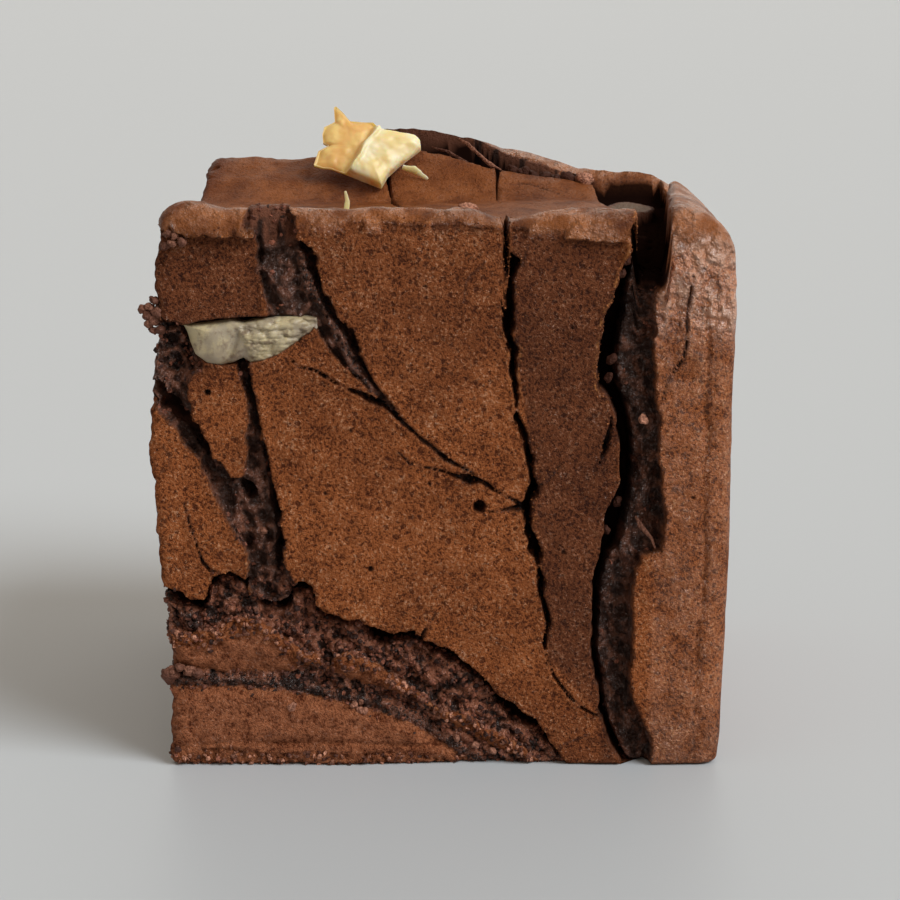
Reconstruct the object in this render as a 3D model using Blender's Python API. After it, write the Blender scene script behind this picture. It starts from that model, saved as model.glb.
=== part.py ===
"""A cube of chocolate brownie with a cracked crust, and the two pieces of nut that show on it.

The cake stands with its crust up. Its front, right and back faces were baked against the pan,
its left face was cut. The top sank while it cooled, so it is a shallow tray between a rounded
front lip, a right-hand crust band and a raised back rim. Lengths are in metres, +Z is up, the
origin is at the middle of the underside, and the cracked pan face looks along -Y.
"""

import math

import bmesh
import bpy
import numpy as np
from mathutils import Matrix, Vector, noise

MM = 0.001

# Driving sizes of the cake
HALF = 28.0 * MM
LIP_HEIGHT = 56.5 * MM
FLOOR_HEIGHT = 52.4 * MM
RIM_HEIGHT = 60.2 * MM
BAND_HEIGHT = 56.8 * MM
SEGMENTS = 26  # grid cells along each edge of the cake
GRID_WARP = 1.25  # gathers the grid lines towards the edges, which are round

# Radii of the cake's round edges
LIP_RADIUS = 2.4 * MM
BAND_RADIUS = 6.0 * MM
BACK_RADIUS = 2.0 * MM
CUT_RADIUS = 0.7 * MM
UPRIGHT_RADIUS = 1.8 * MM
FOOT_RADIUS = 0.6 * MM

# The gap between a piece of nut and the cake that holds it
GAP = 0.3 * MM

# How far the front cuts start outside the face
CLEAR = 3.0 * MM

# Outlines of the upright faces, as (height, how far the face stands out past HALF), in mm
LEFT_SIDE = ((0, 0.1), (7, 0.2), (8, 0.8), (9.5, 0.3), (13, 0.2), (20, 0.8), (28, 1.2), (32, 1.6),
             (40, 1.3), (45, 0.8), (49, 1.0), (54, 0.6), (60, 0.2))
RIGHT_SIDE = ((0, -0.4), (3, -0.1), (12, 0.0), (22, 0.3), (40, 0.3), (49, 0.6), (60, 0.6))

# Crest of the back rim, as (x, height under or over LIP_HEIGHT), in mm
RIM_LINE = ((-28, 0.5), (-16, 0.3), (-10.5, 2.2), (-8, 3.5), (-4.4, 3.7), (-1, 3.4), (2.6, 2.8),
            (6.1, 1.9), (10.8, 0.8), (15, -0.6), (22.6, -1.3), (28, -2.4))

# Lower edge of the crust plates on the front, as (x, height), in mm
PLATE_EDGE = ((-30, 20.3), (-25, 17.4), (-21, 19.6), (-16, 19.2), (-13, 17.5), (-11, 15.6),
              (-3, 14.0), (1.3, 11.5), (4.7, 8.3), (8, 5.0), (12, 0.0))

# The wide fissure in front, as (height, left edge, right edge), in mm
FISSURE = ((59, 18.8, 22.4), (54, 18.1, 21.1), (48, 17.0, 20.5), (43, 15.5, 20.8),
           (39.5, 14.9, 20.6), (36, 15.8, 21.3), (30, 17.2, 21.5), (27, 16.2, 21.9),
           (23.5, 15.1, 21.2), (20, 14.6, 18.9), (12, 14.3, 18.6), (7, 15.1, 18.9),
           (3, 16.2, 20.6), (-2, 17.8, 20.8))
FISSURE_DEPTH = 5.0 * MM

# The crumbly scar at the upper left, and the channel below the nut, in the same way
SCAR = ((60, -19.8, -14.2), (55.5, -19.4, -14.3), (52, -18.1, -13.4), (49.5, -17.5, -12.6),
        (47.2, -16.6, -11.2), (45.6, -13.0, -10.3), (42.5, -9.9, -8.8), (39, -7.4, -6.4),
        (36, -4.9, -4.5))
SCAR_DEPTH = 1.8 * MM
CHANNEL = ((42, -20.6, -19.6), (37.8, -20.1, -19.1), (33, -20.2, -18.2), (29, -20.6, -17.8),
           (25, -20.1, -16.5), (21, -20.2, -16.2), (18.4, -19.6, -14.4))
CHANNEL_DEPTH = 3.0 * MM

# Routes of the narrow cracks in front, as (x, height, half width), in mm
MAIN_CRACK = ((5.7, 59, 0.6), (6.0, 53.4, 0.55), (6.0, 49.5, 0.45), (6.3, 45.8, 0.4),
              (6.8, 41.3, 0.35), (7.5, 36.7, 0.35), (8.5, 30.5, 0.35), (8.1, 27, 0.5),
              (8.3, 24, 0.3), (9.0, 20.6, 0.25), (9.8, 16.8, 0.2), (9.8, 12, 0.12))
SLANT_CRACK = ((-15.0, 41.7, 0.15), (-12.4, 40.2, 0.3), (-10.1, 38.8, 0.5), (-8.4, 38.4, 0.85),
               (-6.8, 37.6, 0.6), (-4.4, 35.4, 0.35), (-1.1, 33.0, 0.3), (3.4, 29.8, 0.15))
LEFT_CRACK = ((-27.2, 40.5, 0.8), (-26.4, 37.4, 1.2), (-25.0, 34.2, 0.9), (-23.4, 31.2, 0.8),
              (-21.9, 29.2, 0.7), (-20.9, 26.5, 0.5))
UNDERCUT = ((-31, 20.9, 0.4), (-27.9, 18.2, 0.5), (-25.2, 16.9, 0.6), (-22.4, 18.3, 0.7),
            (-19, 18.2, 0.8), (-14.6, 17.8, 0.8), (-12.2, 15.4, 0.7), (-8.5, 14.3, 0.6),
            (-3.2, 13.2, 0.6), (1.3, 10.6, 0.6), (4.7, 7.4, 0.6), (7.9, 4.2, 0.6),
            (11.5, -1.5, 0.4))
LOW_SEAM = ((-31, 7.4, 0.35), (-25, 8.3, 0.5), (-20, 8.7, 0.5), (-14.9, 8.4, 0.6),
            (-9.9, 7.4, 0.6), (-4.8, 6.0, 0.7), (0.3, 4.2, 0.8), (3.3, 2.2, 0.8), (6.6, -1.5, 0.6))

# Cuts in the top, as (x, y, half width), and the height of their floors, in mm
RIM_GAP = ((-9, 24.2, 0.5), (-4, 22.8, 1.2), (2, 22.0, 1.4), (6, 21.2, 1.3), (10, 21.8, 1.2),
           (14, 22.4, 1.2), (18, 21.5, 0.8))
TOP_CRACK = ((-7.5, 23.5, 0.2), (-6.6, 17, 0.3), (-5.3, 10, 0.3), (-4.6, 0, 0.12))
# The trough between the top and the crust band, as (y, left edge, right edge), in mm
TROUGH = ((-31, 18.4, 21.4), (-20, 18.5, 22.2), (-8, 18.6, 23.2), (4, 18.4, 24.2),
          (14, 17.8, 25.0), (22, 17.4, 25.2), (24.5, 18.6, 24.2))
TOP_CUT_FLOOR = 50.2 * MM

# The crust lump in the trough and the crumbs on the left edge, as centre and radii in mm
LUMP = ((20.4, 9.5, 51.2), (2.9, 6.5, 2.6))
CRUMBS = (((-29.0, -27.3, 45.0), 1.0), ((-29.9, -27.0, 45.9), 0.8), ((-29.5, -26.6, 47.0), 0.7))

# The nut that is baked into the front: its middle, half length, drop and depth
NUT_MIDDLE = Vector((-19.6, -26.0, 45.5)) * MM
NUT_HALF_LENGTH = 6.7 * MM
NUT_RISE = 0.3 * MM
NUT_DROP = 4.3 * MM
NUT_HALF_DEPTH = 2.5 * MM

# The shard of nut on top: outline in its own plane from its lowest tip, in mm, and its tilt
SHARD_OUTLINE = ((0, 0), (0.7, 1.5), (3.5, 4.2), (4.5, 5.2), (4.4, 6.1), (2.5, 7.0), (0, 7.2),
                 (-1.1, 8.8), (-3.7, 9.0), (-4.5, 10.1), (-5.4, 11.1), (-5.5, 8.9), (-6.7, 8.2),
                 (-6.8, 6.1), (-6.1, 5.7), (-7.3, 4.9), (-7.8, 3.0), (-5.9, 2.6), (-3.5, 1.6))
SHARD_FOOT = Vector((-7.6, 17.0, 54.3)) * MM
SHARD_LEAN = math.radians(38)
SHARD_MIDDLE = (-2.4, 5.4)
# Its broken layers, as (height over the outline's plane in mm, size, shift right and up in mm)
SHARD_LAYERS = ((-1.3, 0.62, -0.6, 0.5), (-0.5, 0.9, -0.3, 0.2), (0.2, 1.0, 0, 0),
                (1.0, 0.84, 0.5, -0.4), (1.7, 0.45, 1.2, -1.2))


def clear_scene():
    for item in list(bpy.data.objects):
        bpy.data.objects.remove(item, do_unlink=True)


def collection(name, shown):
    made = bpy.data.collections.new(name)
    made.hide_render = not shown
    bpy.context.scene.collection.children.link(made)
    return made


def material(name, colour, roughness):
    made = bpy.data.materials.new(name)
    made.use_nodes = True
    shader = made.node_tree.nodes["Principled BSDF"]
    shader.inputs["Base Color"].default_value = (*colour, 1)
    shader.inputs["Roughness"].default_value = roughness
    shader.inputs["Metallic"].default_value = 0
    return made


def add_object(name, mesh, into, finish=None):
    made = bpy.data.objects.new(name, mesh)
    if finish:
        mesh.materials.append(finish)
    into.objects.link(made)
    return made


def cutter(name, form, into):
    """A closed bmesh as a helper object that isn't part of the model."""
    bmesh.ops.recalc_face_normals(form, faces=form.faces)
    mesh = bpy.data.meshes.new(name)
    form.to_mesh(mesh)
    form.free()
    made = add_object(name, mesh, into)
    made.hide_render = True
    made.display_type = "WIRE"
    return made


def combine(target, other, operation):
    step = target.modifiers.new(operation.title() + " " + other.name, "BOOLEAN")
    step.object = other
    step.operation = operation
    step.solver = "EXACT"


def ease(value, start, end):
    """0 up to start, 1 from end on, and a smooth step between them."""
    share = min(max((value - start) / (end - start), 0.0), 1.0)
    return share * share * (3 - 2 * share)


def higher(first, second, blend):
    """The larger of two heights, with the corner between them rounded over a blend length."""
    return (first + second + math.hypot(first - second, blend)) / 2


def along(table, place):
    """A value of a table of (place, value) rows in mm, at a place in metres."""
    return float(np.interp(place / MM, [row[0] for row in table], [row[1] for row in table])) * MM


def round_drop(inside, radius):
    """How far a round edge of this radius falls away, this far inside the face beside it."""
    if inside >= radius:
        return 0.0
    return radius - math.sqrt(max(radius ** 2 - (radius - inside) ** 2, 0.0))


def lip_line(x):
    swell = 0.8 * MM * math.exp(-((x / MM + 25.5) / 2.5) ** 2)
    dip = 0.8 * MM * math.exp(-((x / MM - 6) / 3) ** 2)
    return LIP_HEIGHT + swell - dip


def top_height(x, y):
    """Height of the sunken top and of its lip, rim and band, before the edges are rounded."""
    behind_lip = y + HALF
    before_back = HALF - y
    floor = FLOOR_HEIGHT + 0.6 * MM * noise.noise(Vector((x, y, 0)) / (9 * MM))
    lip = floor + (lip_line(x) - floor) * (1 - ease(behind_lip, 2.5 * MM, 12 * MM))
    rim_height = LIP_HEIGHT + along(RIM_LINE, x)
    rim = floor + (rim_height - floor) * (1 - ease(before_back, 2.0 * MM, 13 * MM))
    band_inner = 19.0 * MM + 3.5 * MM * ease(y, -HALF, HALF)
    band_height = BAND_HEIGHT - 2.0 * MM * ease(y, 0, HALF)
    band = floor + (band_height - floor) * ease(x, band_inner, band_inner + 3.5 * MM)
    return higher(higher(lip, rim, 0.3 * MM), band, 0.3 * MM)


def front_sink(x, z):
    """How far the front face lies back: the strata under the plates and the block over the nut."""
    edge = along(PLATE_EDGE, x)
    strata = 1.4 * MM * (1 - ease(z, edge - 1.4 * MM, edge - 0.2 * MM))
    ledge = 1.2 * MM * math.exp(-((z / MM - 12 + 0.25 * (x / MM + 20)) / 1.8) ** 2)
    strata = max(strata - ledge, 0) * (1 - ease(x, 6 * MM, 12 * MM))
    block = 0.4 * MM * (1 - ease(x, -20 * MM, -18 * MM)) * ease(z, 44 * MM, 46 * MM)
    block *= 1 - ease(z, 52.5 * MM, 54 * MM)
    small_plate = 0.3 * MM * (1 - ease(x, -22 * MM, -20 * MM)) * ease(z, edge, edge + MM)
    small_plate *= 1 - ease(z, 40 * MM, 42 * MM)
    swell = 0.3 * MM * noise.noise(Vector((x, 0, z)) / (11 * MM))
    return strata + block + small_plate + swell


def cake_point(point):
    """Where a point of the unit cube's surface lies on the cake."""
    a, b, c = (math.sin(GRID_WARP * t) / math.sin(GRID_WARP) for t in point)
    x, y = a * HALF, b * HALF
    front, back = (1 + b) * HALF, (1 - b) * HALF
    left, right = (1 + a) * HALF, (1 - a) * HALF
    top = top_height(x, y)
    top -= round_drop(front, LIP_RADIUS) + round_drop(back, BACK_RADIUS)
    top -= round_drop(right, BAND_RADIUS) + round_drop(left, CUT_RADIUS)
    z = (1 + c) / 2 * top
    upright = round_drop(front, UPRIGHT_RADIUS) + round_drop(back, UPRIGHT_RADIUS)
    foot = round_drop(z, FOOT_RADIUS)
    rough = 0.5 * MM * noise.noise(Vector((0, y, z)) / (5 * MM))
    if a < 0:
        cut_corner = (round_drop(front, CUT_RADIUS) + round_drop(back, CUT_RADIUS)) - foot
        x = a * (HALF + along(LEFT_SIDE, z) + rough - cut_corner - 2 * foot)
    else:
        x = a * (HALF + along(RIGHT_SIDE, z) - upright - foot)
    y = b * (HALF - foot)
    y += front_sink(x, z) * (1 - ease(front, 0, 7 * MM))
    return Vector((x, y, z))


def cake_body(into, finish):
    bpy.ops.mesh.primitive_cube_add(size=2)
    body = bpy.context.object
    body.name = body.data.name = "brownie"
    for owner in list(body.users_collection):
        owner.objects.unlink(body)
    into.objects.link(body)
    form = bmesh.new()
    form.from_mesh(body.data)
    bmesh.ops.subdivide_edges(form, edges=form.edges[:], cuts=SEGMENTS - 1, use_grid_fill=True)
    for vertex in form.verts:
        vertex.co = cake_point(vertex.co)
    bmesh.ops.recalc_face_normals(form, faces=form.faces)
    form.to_mesh(body.data)
    form.free()
    body.data.materials.append(finish)
    return body


def sides_of(route):
    """Both edges of a crack, from the points and half widths of its middle line."""
    rows = []
    for index, (u, v, half_width) in enumerate(route):
        before = route[max(index - 1, 0)]
        after = route[min(index + 1, len(route) - 1)]
        run = math.hypot(after[0] - before[0], after[1] - before[1])
        across = ((after[1] - before[1]) / run * half_width, -(after[0] - before[0]) / run * half_width)
        rows.append(((u - across[0], v - across[1]), (u + across[0], v + across[1])))
    return rows


def wedge(name, rows, place, outside, bottom, taper, into):
    """A loft through rows of two edge points, wide outside and narrower at the bottom of the cut."""
    form = bmesh.new()
    loops = []
    for first, second in rows:
        middle = [(p + q) / 2 for p, q in zip(first, second)]
        deep = [[m + (p - m) * taper for p, m in zip(edge, middle)] for edge in (second, first)]
        corners = [place(*first, outside), place(*second, outside)]
        corners += [place(*deep[0], bottom), place(*deep[1], bottom)]
        loops.append([form.verts.new(Vector(corner) * MM) for corner in corners])
    for near, far in zip(loops, loops[1:]):
        for side in range(4):
            following = (side + 1) % 4
            form.faces.new((near[side], near[following], far[following], far[side]))
    form.faces.new(loops[0])
    form.faces.new(loops[-1])
    return cutter(name, form, into)


def in_front(u, v, depth):
    """A point of the front face, this far behind it."""
    return (u, -HALF / MM + depth, v)


def from_above(u, v, height):
    return (u, v, height)


def cake_cutters(into):
    clear = -CLEAR / MM
    front_bands = (
        ("fissure", FISSURE, FISSURE_DEPTH, 0.6),
        ("scar", SCAR, SCAR_DEPTH, 0.75),
        ("channel", CHANNEL, CHANNEL_DEPTH, 0.4),
    )
    for name, band, depth, taper in front_bands:
        rows = [((left, height), (right, height)) for height, left, right in band]
        yield wedge(name, rows, in_front, clear, depth / MM, taper, into)
    front_cracks = (
        ("main_crack", MAIN_CRACK, 3.5 * MM),
        ("slant_crack", SLANT_CRACK, 2.4 * MM),
        ("left_crack", LEFT_CRACK, 2.4 * MM),
        ("undercut", UNDERCUT, 3.2 * MM),
        ("low_seam", LOW_SEAM, 2.6 * MM),
    )
    for name, route, depth in front_cracks:
        yield wedge(name, sides_of(route), in_front, clear, depth / MM, 0.35, into)
    trough = [((left, y), (right, y)) for y, left, right in TROUGH]
    sky = (RIM_HEIGHT + CLEAR) / MM
    yield wedge("trough", trough, from_above, sky, TOP_CUT_FLOOR / MM, 0.7, into)
    yield wedge("rim_gap", sides_of(RIM_GAP), from_above, sky, TOP_CUT_FLOOR / MM, 0.8, into)
    yield wedge("top_crack", sides_of(TOP_CRACK), from_above, sky, TOP_CUT_FLOOR / MM, 0.5, into)


def pebble(name, centre, radii, roughness, into):
    """A rough round lump, for a piece that is fused to the cake."""
    form = bmesh.new()
    bmesh.ops.create_icosphere(form, subdivisions=3, radius=1)
    for vertex in form.verts:
        swell = 1 + roughness * noise.noise(vertex.co * 1.7 + Vector(centre))
        vertex.co = Vector(m + p * r * swell for m, p, r in zip(centre, vertex.co, radii)) * MM
    return cutter(name, form, into)


def push_out(form, distance):
    """Moves each point along its normal, for a pocket a little larger than what lies in it."""
    shifts = [vertex.normal * distance for vertex in form.verts]
    for vertex, shift in zip(form.verts, shifts):
        vertex.co += shift


def nut_form(grow):
    """The half-moon nut: flat on top, full below, grown by a margin for the pocket round it."""
    form = bmesh.new()
    bmesh.ops.create_icosphere(form, subdivisions=3, radius=1)
    for vertex in form.verts:
        a, b, c = vertex.co
        fall = NUT_DROP * (1 - 0.35 * max(a, 0)) if c < 0 else NUT_RISE + 0.8 * MM
        lift = 0.35 * MM * a
        spread = Vector((a * NUT_HALF_LENGTH, b * NUT_HALF_DEPTH, c * fall + lift))
        spread *= 1 + 0.05 * noise.noise(vertex.co * 2.1)
        vertex.co = NUT_MIDDLE + spread
    form.normal_update()
    push_out(form, grow)
    return form


def nut_chunk(into, finish):
    mesh = bpy.data.meshes.new("nut_chunk")
    form = nut_form(0)
    form.to_mesh(mesh)
    form.free()
    mesh.shade_smooth()
    return add_object("nut_chunk", mesh, into, finish)


def shard_form(grow):
    """The splinter of nut: one outline at five levels, smaller towards both of its faces."""
    form = bmesh.new()
    loops = []
    for height, share, right, up in SHARD_LAYERS:
        loop = []
        for u, v in SHARD_OUTLINE:
            across = SHARD_MIDDLE[0] + (u - SHARD_MIDDLE[0]) * share + right
            along_plane = SHARD_MIDDLE[1] + (v - SHARD_MIDDLE[1]) * share + up
            step = 0.35 * noise.noise(Vector((u, v, height)) * 0.9)
            loop.append(form.verts.new(Vector((across, along_plane, height + step)) * MM))
        loops.append(loop)
    for lower, upper in zip(loops, loops[1:]):
        for index in range(len(lower)):
            following = (index + 1) % len(lower)
            form.faces.new((lower[index], lower[following], upper[following], upper[index]))
    form.faces.new(loops[0])
    form.faces.new(loops[-1])
    bmesh.ops.triangulate(form, faces=form.faces)
    bmesh.ops.recalc_face_normals(form, faces=form.faces)
    upright = Matrix.Rotation(math.radians(90) - SHARD_LEAN, 4, "X")
    form.transform(Matrix.Translation(SHARD_FOOT) @ upright)
    form.normal_update()
    push_out(form, grow)
    return form


def nut_shard(into, finish):
    mesh = bpy.data.meshes.new("nut_shard")
    form = shard_form(0)
    form.to_mesh(mesh)
    form.free()
    return add_object("nut_shard", mesh, into, finish)


def main():
    clear_scene()
    parts = collection("Brownie", shown=True)
    helpers = collection("Cutters", shown=False)
    crust = material("baked_crust", (0.15, 0.055, 0.025), 0.6)
    pale_nut = material("baked_nut", (0.30, 0.21, 0.12), 0.5)
    fresh_nut = material("fresh_nut", (0.75, 0.5, 0.18), 0.45)

    body = cake_body(parts, crust)
    nut_chunk(parts, pale_nut)
    nut_shard(parts, fresh_nut)

    for cut in cake_cutters(helpers):
        combine(body, cut, "DIFFERENCE")
    combine(body, pebble("lump", *LUMP, 0.25, helpers), "UNION")
    for number, (centre, radius) in enumerate(CRUMBS):
        crumb = pebble(f"crumb_{number + 1}", centre, (radius,) * 3, 0.4, helpers)
        combine(body, crumb, "UNION")
    combine(body, cutter("nut_pocket", nut_form(GAP), helpers), "DIFFERENCE")
    combine(body, cutter("shard_seat", shard_form(2 * GAP), helpers), "DIFFERENCE")


main()
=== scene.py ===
import itertools
import math

import bmesh
import bpy
import numpy as np
from mathutils import Euler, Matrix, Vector


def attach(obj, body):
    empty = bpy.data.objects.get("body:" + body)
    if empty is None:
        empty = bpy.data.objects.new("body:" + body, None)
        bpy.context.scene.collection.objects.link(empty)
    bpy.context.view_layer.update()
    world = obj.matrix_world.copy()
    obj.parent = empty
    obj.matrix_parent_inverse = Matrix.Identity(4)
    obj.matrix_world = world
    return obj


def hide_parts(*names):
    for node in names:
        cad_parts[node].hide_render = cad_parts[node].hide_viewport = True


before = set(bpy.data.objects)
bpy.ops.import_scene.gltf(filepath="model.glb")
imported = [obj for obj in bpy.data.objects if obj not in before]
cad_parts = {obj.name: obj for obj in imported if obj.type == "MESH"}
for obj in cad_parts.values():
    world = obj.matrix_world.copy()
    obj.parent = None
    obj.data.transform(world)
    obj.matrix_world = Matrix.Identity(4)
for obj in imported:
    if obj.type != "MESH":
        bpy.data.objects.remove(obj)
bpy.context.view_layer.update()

# The brownie stands on a pale table near a window on its right. The camera looks at the cracked
# face square on and a little from above, through a long lens.
MM = 0.001
CAMERA_PLACE = Vector((0.25, -288.07, 85.97)) * MM
CAMERA_PITCH = math.radians(11.565)
CAMERA_LENS = 106.83


def put_in(name, data):
    """A new object in the scene."""
    made = bpy.data.objects.new(name, data)
    bpy.context.scene.collection.objects.link(made)
    return made


camera_data = bpy.data.cameras.new("camera")
camera_data.lens = CAMERA_LENS
camera_data.sensor_width = 36
camera_data.clip_start = 0.01
camera = put_in("camera", camera_data)
camera.location = CAMERA_PLACE
camera.rotation_euler = (math.pi / 2 - CAMERA_PITCH, 0, 0)
bpy.context.scene.camera = camera
bpy.context.scene.view_settings.view_transform = "Standard"

world = bpy.data.worlds.new("room")
world.use_nodes = True
room_light = world.node_tree.nodes["Background"]
room_light.inputs["Color"].default_value = (0.97, 0.86, 0.72, 1)
room_light.inputs["Strength"].default_value = 0.40
bpy.context.scene.world = world


def soft_sun(name, turn, height, spread, strength, colour):
    """Even light from far off: turn is counted from the right towards the back, both in degrees."""
    data = bpy.data.lights.new(name, "SUN")
    data.angle = math.radians(spread)
    data.energy = strength
    data.color = colour
    turn, height = math.radians(turn), math.radians(height)
    level = math.cos(height)
    towards = Vector((math.cos(turn) * level, math.sin(turn) * level, math.sin(height)))
    put_in(name, data).rotation_euler = towards.to_track_quat("Z", "Y").to_euler()


soft_sun("window", -34, 41, 36, 2.75, (0.92, 0.97, 1.0))
soft_sun("bright_wall", 80, 20, 60, 0.5, (1.0, 0.98, 0.94))

TABLE_HALF = 3.0
TABLE_GAP = 0.00005  # keeps the table's top just clear of the cake's underside
table_mesh = bpy.data.meshes.new("table")
corners = [(-TABLE_HALF, -TABLE_HALF), (TABLE_HALF, -TABLE_HALF),
           (TABLE_HALF, TABLE_HALF), (-TABLE_HALF, TABLE_HALF)]
table_mesh.from_pydata([(x, y, -TABLE_GAP) for x, y in corners], [], [(0, 1, 2, 3)])
table = put_in("table", table_mesh)
table_finish = bpy.data.materials.new("pale_table")
table_finish.use_nodes = True
table_shader = table_finish.node_tree.nodes["Principled BSDF"]
table_shader.inputs["Base Color"].default_value = (0.53, 0.55, 0.57, 1)
table_shader.inputs["Roughness"].default_value = 0.5
table_mesh.materials.append(table_finish)

# The cake is one block of dense chocolate batter, baked in a pan and cut on its left side. It rose
# and sank again, which left a tray in the top between a round lip, a crust band and a torn rim.
HALF = 28.0
LIP_HEIGHT = 56.5
FLOOR_HEIGHT = 52.4
BAND_HEIGHT = 56.8
LIP_RADIUS = 2.4
BAND_RADIUS = 6.0
BACK_RADIUS = 2.0
CUT_RADIUS = 0.7
UPRIGHT_RADIUS = 1.8
FOOT_RADIUS = 0.6
LEFT_SIDE = ((0, 0.1), (7, 0.2), (8, 0.8), (9.5, 0.3), (13, 0.2), (20, 0.8), (28, 1.2), (32, 1.6),
             (40, 1.3), (45, 0.8), (49, 1.0), (52, 0.7), (54, 0.4), (55.5, 0.0), (57.5, -1.0))
RIGHT_SIDE = ((0, -0.4), (3, -0.1), (12, 0.0), (22, 0.3), (40, 0.3), (49, 0.6), (60, 0.6))
RIM_LINE = ((-28, 0.5), (-16, 0.3), (-10.5, 2.2), (-8, 3.5), (-4.4, 3.7), (-1, 3.4), (2.6, 2.8), (6.1, 1.9),
            (10.8, 0.8), (15, -0.6), (22.6, -1.3), (28, -2.4))
CELL = 0.19  # size of the mesh's cells in front


def ease(value, start, end):
    """0 up to start, 1 from end on, and a smooth step between them."""
    share = np.clip((value - start) / (end - start), 0, 1)
    return share * share * (3 - 2 * share)


def higher(first, second, blend):
    """The higher of two heights, with a soft change between them."""
    return (first + second + np.hypot(first - second, blend)) / 2


def along(table, place, column=1):
    """A column of a table, read at places given by its first column."""
    return np.interp(place, [row[0] for row in table], [row[column] for row in table])


def ridge(offset, width):
    """1 on a line, fading to both sides of it."""
    return np.exp(-(offset / width) ** 2)


def on_plane(u, v):
    """Flat places as rows of three numbers."""
    return np.stack([u, v, np.zeros(len(u))], axis=1)


def round_drop(inside, radius):
    """How far a round edge of this radius falls away, this far inside the face beside it."""
    near = np.clip(inside, 0, radius)
    return radius - np.sqrt(radius ** 2 - (radius - near) ** 2)


def mixed_number(cell):
    """A whole number for each cell of a grid, unlike its neighbours'."""
    return (cell[:, 0] * 73856093) ^ (cell[:, 1] * 19349663) ^ (cell[:, 2] * 83492791)


def rough(places, size, seed):
    """Soft bumps of one size at places (n, 3), from -1 to 1."""
    scaled = places / size + seed * 31.7
    base = np.floor(scaled).astype(np.int64)
    share = scaled - base
    share = share * share * (3 - 2 * share)
    total = np.zeros(len(places))
    for corner in itertools.product((0, 1), repeat=3):
        mixed = mixed_number(base + corner)
        mixed = ((mixed ^ (mixed >> 13)) * 1274126177) & 0x7FFFFFFF
        mixed = (mixed ^ (mixed >> 15)) & 0xFFFF
        weight = np.prod(np.where(np.array(corner) == 1, share, 1 - share), axis=1)
        total += weight * (mixed / 32767.5 - 1)
    return total


def crumbs_of(places, size, seed):
    """Round crumbs of one size packed side by side at places (n, 3): 1 on top of each, 0 between."""
    scaled = places / size + seed * 17.3
    base = np.floor(scaled).astype(np.int64)
    nearest = np.full(len(places), 9.0)
    for step in itertools.product((-1, 0, 1), repeat=3):
        cell = base + step
        mixed = mixed_number(cell)
        distance = np.zeros(len(places))
        for axis in range(3):
            spread = ((mixed ^ (mixed >> 13)) * (1274126177 + 2 * axis)) & 0x7FFFFFFF
            spread = (spread ^ (spread >> 15)) & 0xFFFF
            distance += (scaled[:, axis] - cell[:, axis] - spread / 65535) ** 2
        nearest = np.minimum(nearest, distance)
    return np.sqrt(np.clip(1 - nearest / 0.6, 0, 1))


def lip_line(x):
    """Height of the front lip, which swells at its left and dips at the long crack."""
    return LIP_HEIGHT + 0.8 * ridge(x + 25.5, 2.5) - 0.8 * ridge(x - 6, 3)


def top_height(x, y):
    """Height of the sunken top with its lip, rim and band, before the edges are rounded."""
    flat = on_plane(x, y)
    floor = FLOOR_HEIGHT + 0.5 * rough(flat, 9, 1) + 0.15 * rough(flat, 3, 2)
    lip = floor + (lip_line(x) - floor) * (1 - ease(y + HALF, 2.5, 12))
    rim = floor + (LIP_HEIGHT + along(RIM_LINE, x) - floor) * (1 - ease(HALF - y, 2.0, 13))
    band_inner = 19.0 + 3.5 * ease(y, -HALF, HALF)
    band_height = BAND_HEIGHT - 2.0 * ease(y, 0, HALF)
    band = floor + (band_height - floor) * ease(x, band_inner, band_inner + 3.5)
    return higher(higher(lip, rim, 0.3), band, 0.3)


def block_lines(first, last, cells):
    """Places of grid lines between two ends, where cells gives (place, cell size) rows."""
    fine = np.linspace(first, last, 4000)
    lines = np.concatenate([[0], np.cumsum(np.diff(fine) / along(cells, fine[1:]))])
    return np.interp(np.linspace(0, lines[-1], int(lines[-1]) + 1), lines, fine)


across = block_lines(-HALF, HALF, ((-HALF, CELL), (HALF, CELL)))
upward = block_lines(0, 1, ((0, CELL / LIP_HEIGHT), (1, CELL / LIP_HEIGHT)))
BACKWARD_CELLS = ((-28, 1.1), (-20, 1.8), (-5, 4), (10, 3), (19, 1.2), (27, 1), (28, 1))
backward = block_lines(-HALF, HALF, [(place, share * CELL) for place, share in BACKWARD_CELLS])
counts = (len(across), len(backward), len(upward))
quads = []
for axis in range(3):
    first, second = [other for other in range(3) if other != axis]
    for end in (0, counts[axis] - 1):
        lines = [None] * 3
        numbers = [np.arange(counts[other]) for other in (first, second)]
        lines[first], lines[second] = np.meshgrid(*numbers, indexing="ij")
        lines[axis] = np.full_like(lines[first], end)
        codes = (lines[0] * counts[1] + lines[1]) * counts[2] + lines[2]
        face = np.stack([codes[:-1, :-1], codes[1:, :-1], codes[1:, 1:], codes[:-1, 1:]], axis=2)
        face = face.reshape(-1, 4)
        outward = (end > 0) != (axis == 1)
        quads.append(face if outward else face[:, ::-1])
used, quads = np.unique(np.concatenate(quads), return_inverse=True)
quads = quads.reshape(-1, 4)
line_x, rest = np.divmod(used, counts[1] * counts[2])
line_y, line_z = np.divmod(rest, counts[2])
x, y, share_up = across[line_x], backward[line_y], upward[line_z]

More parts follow.
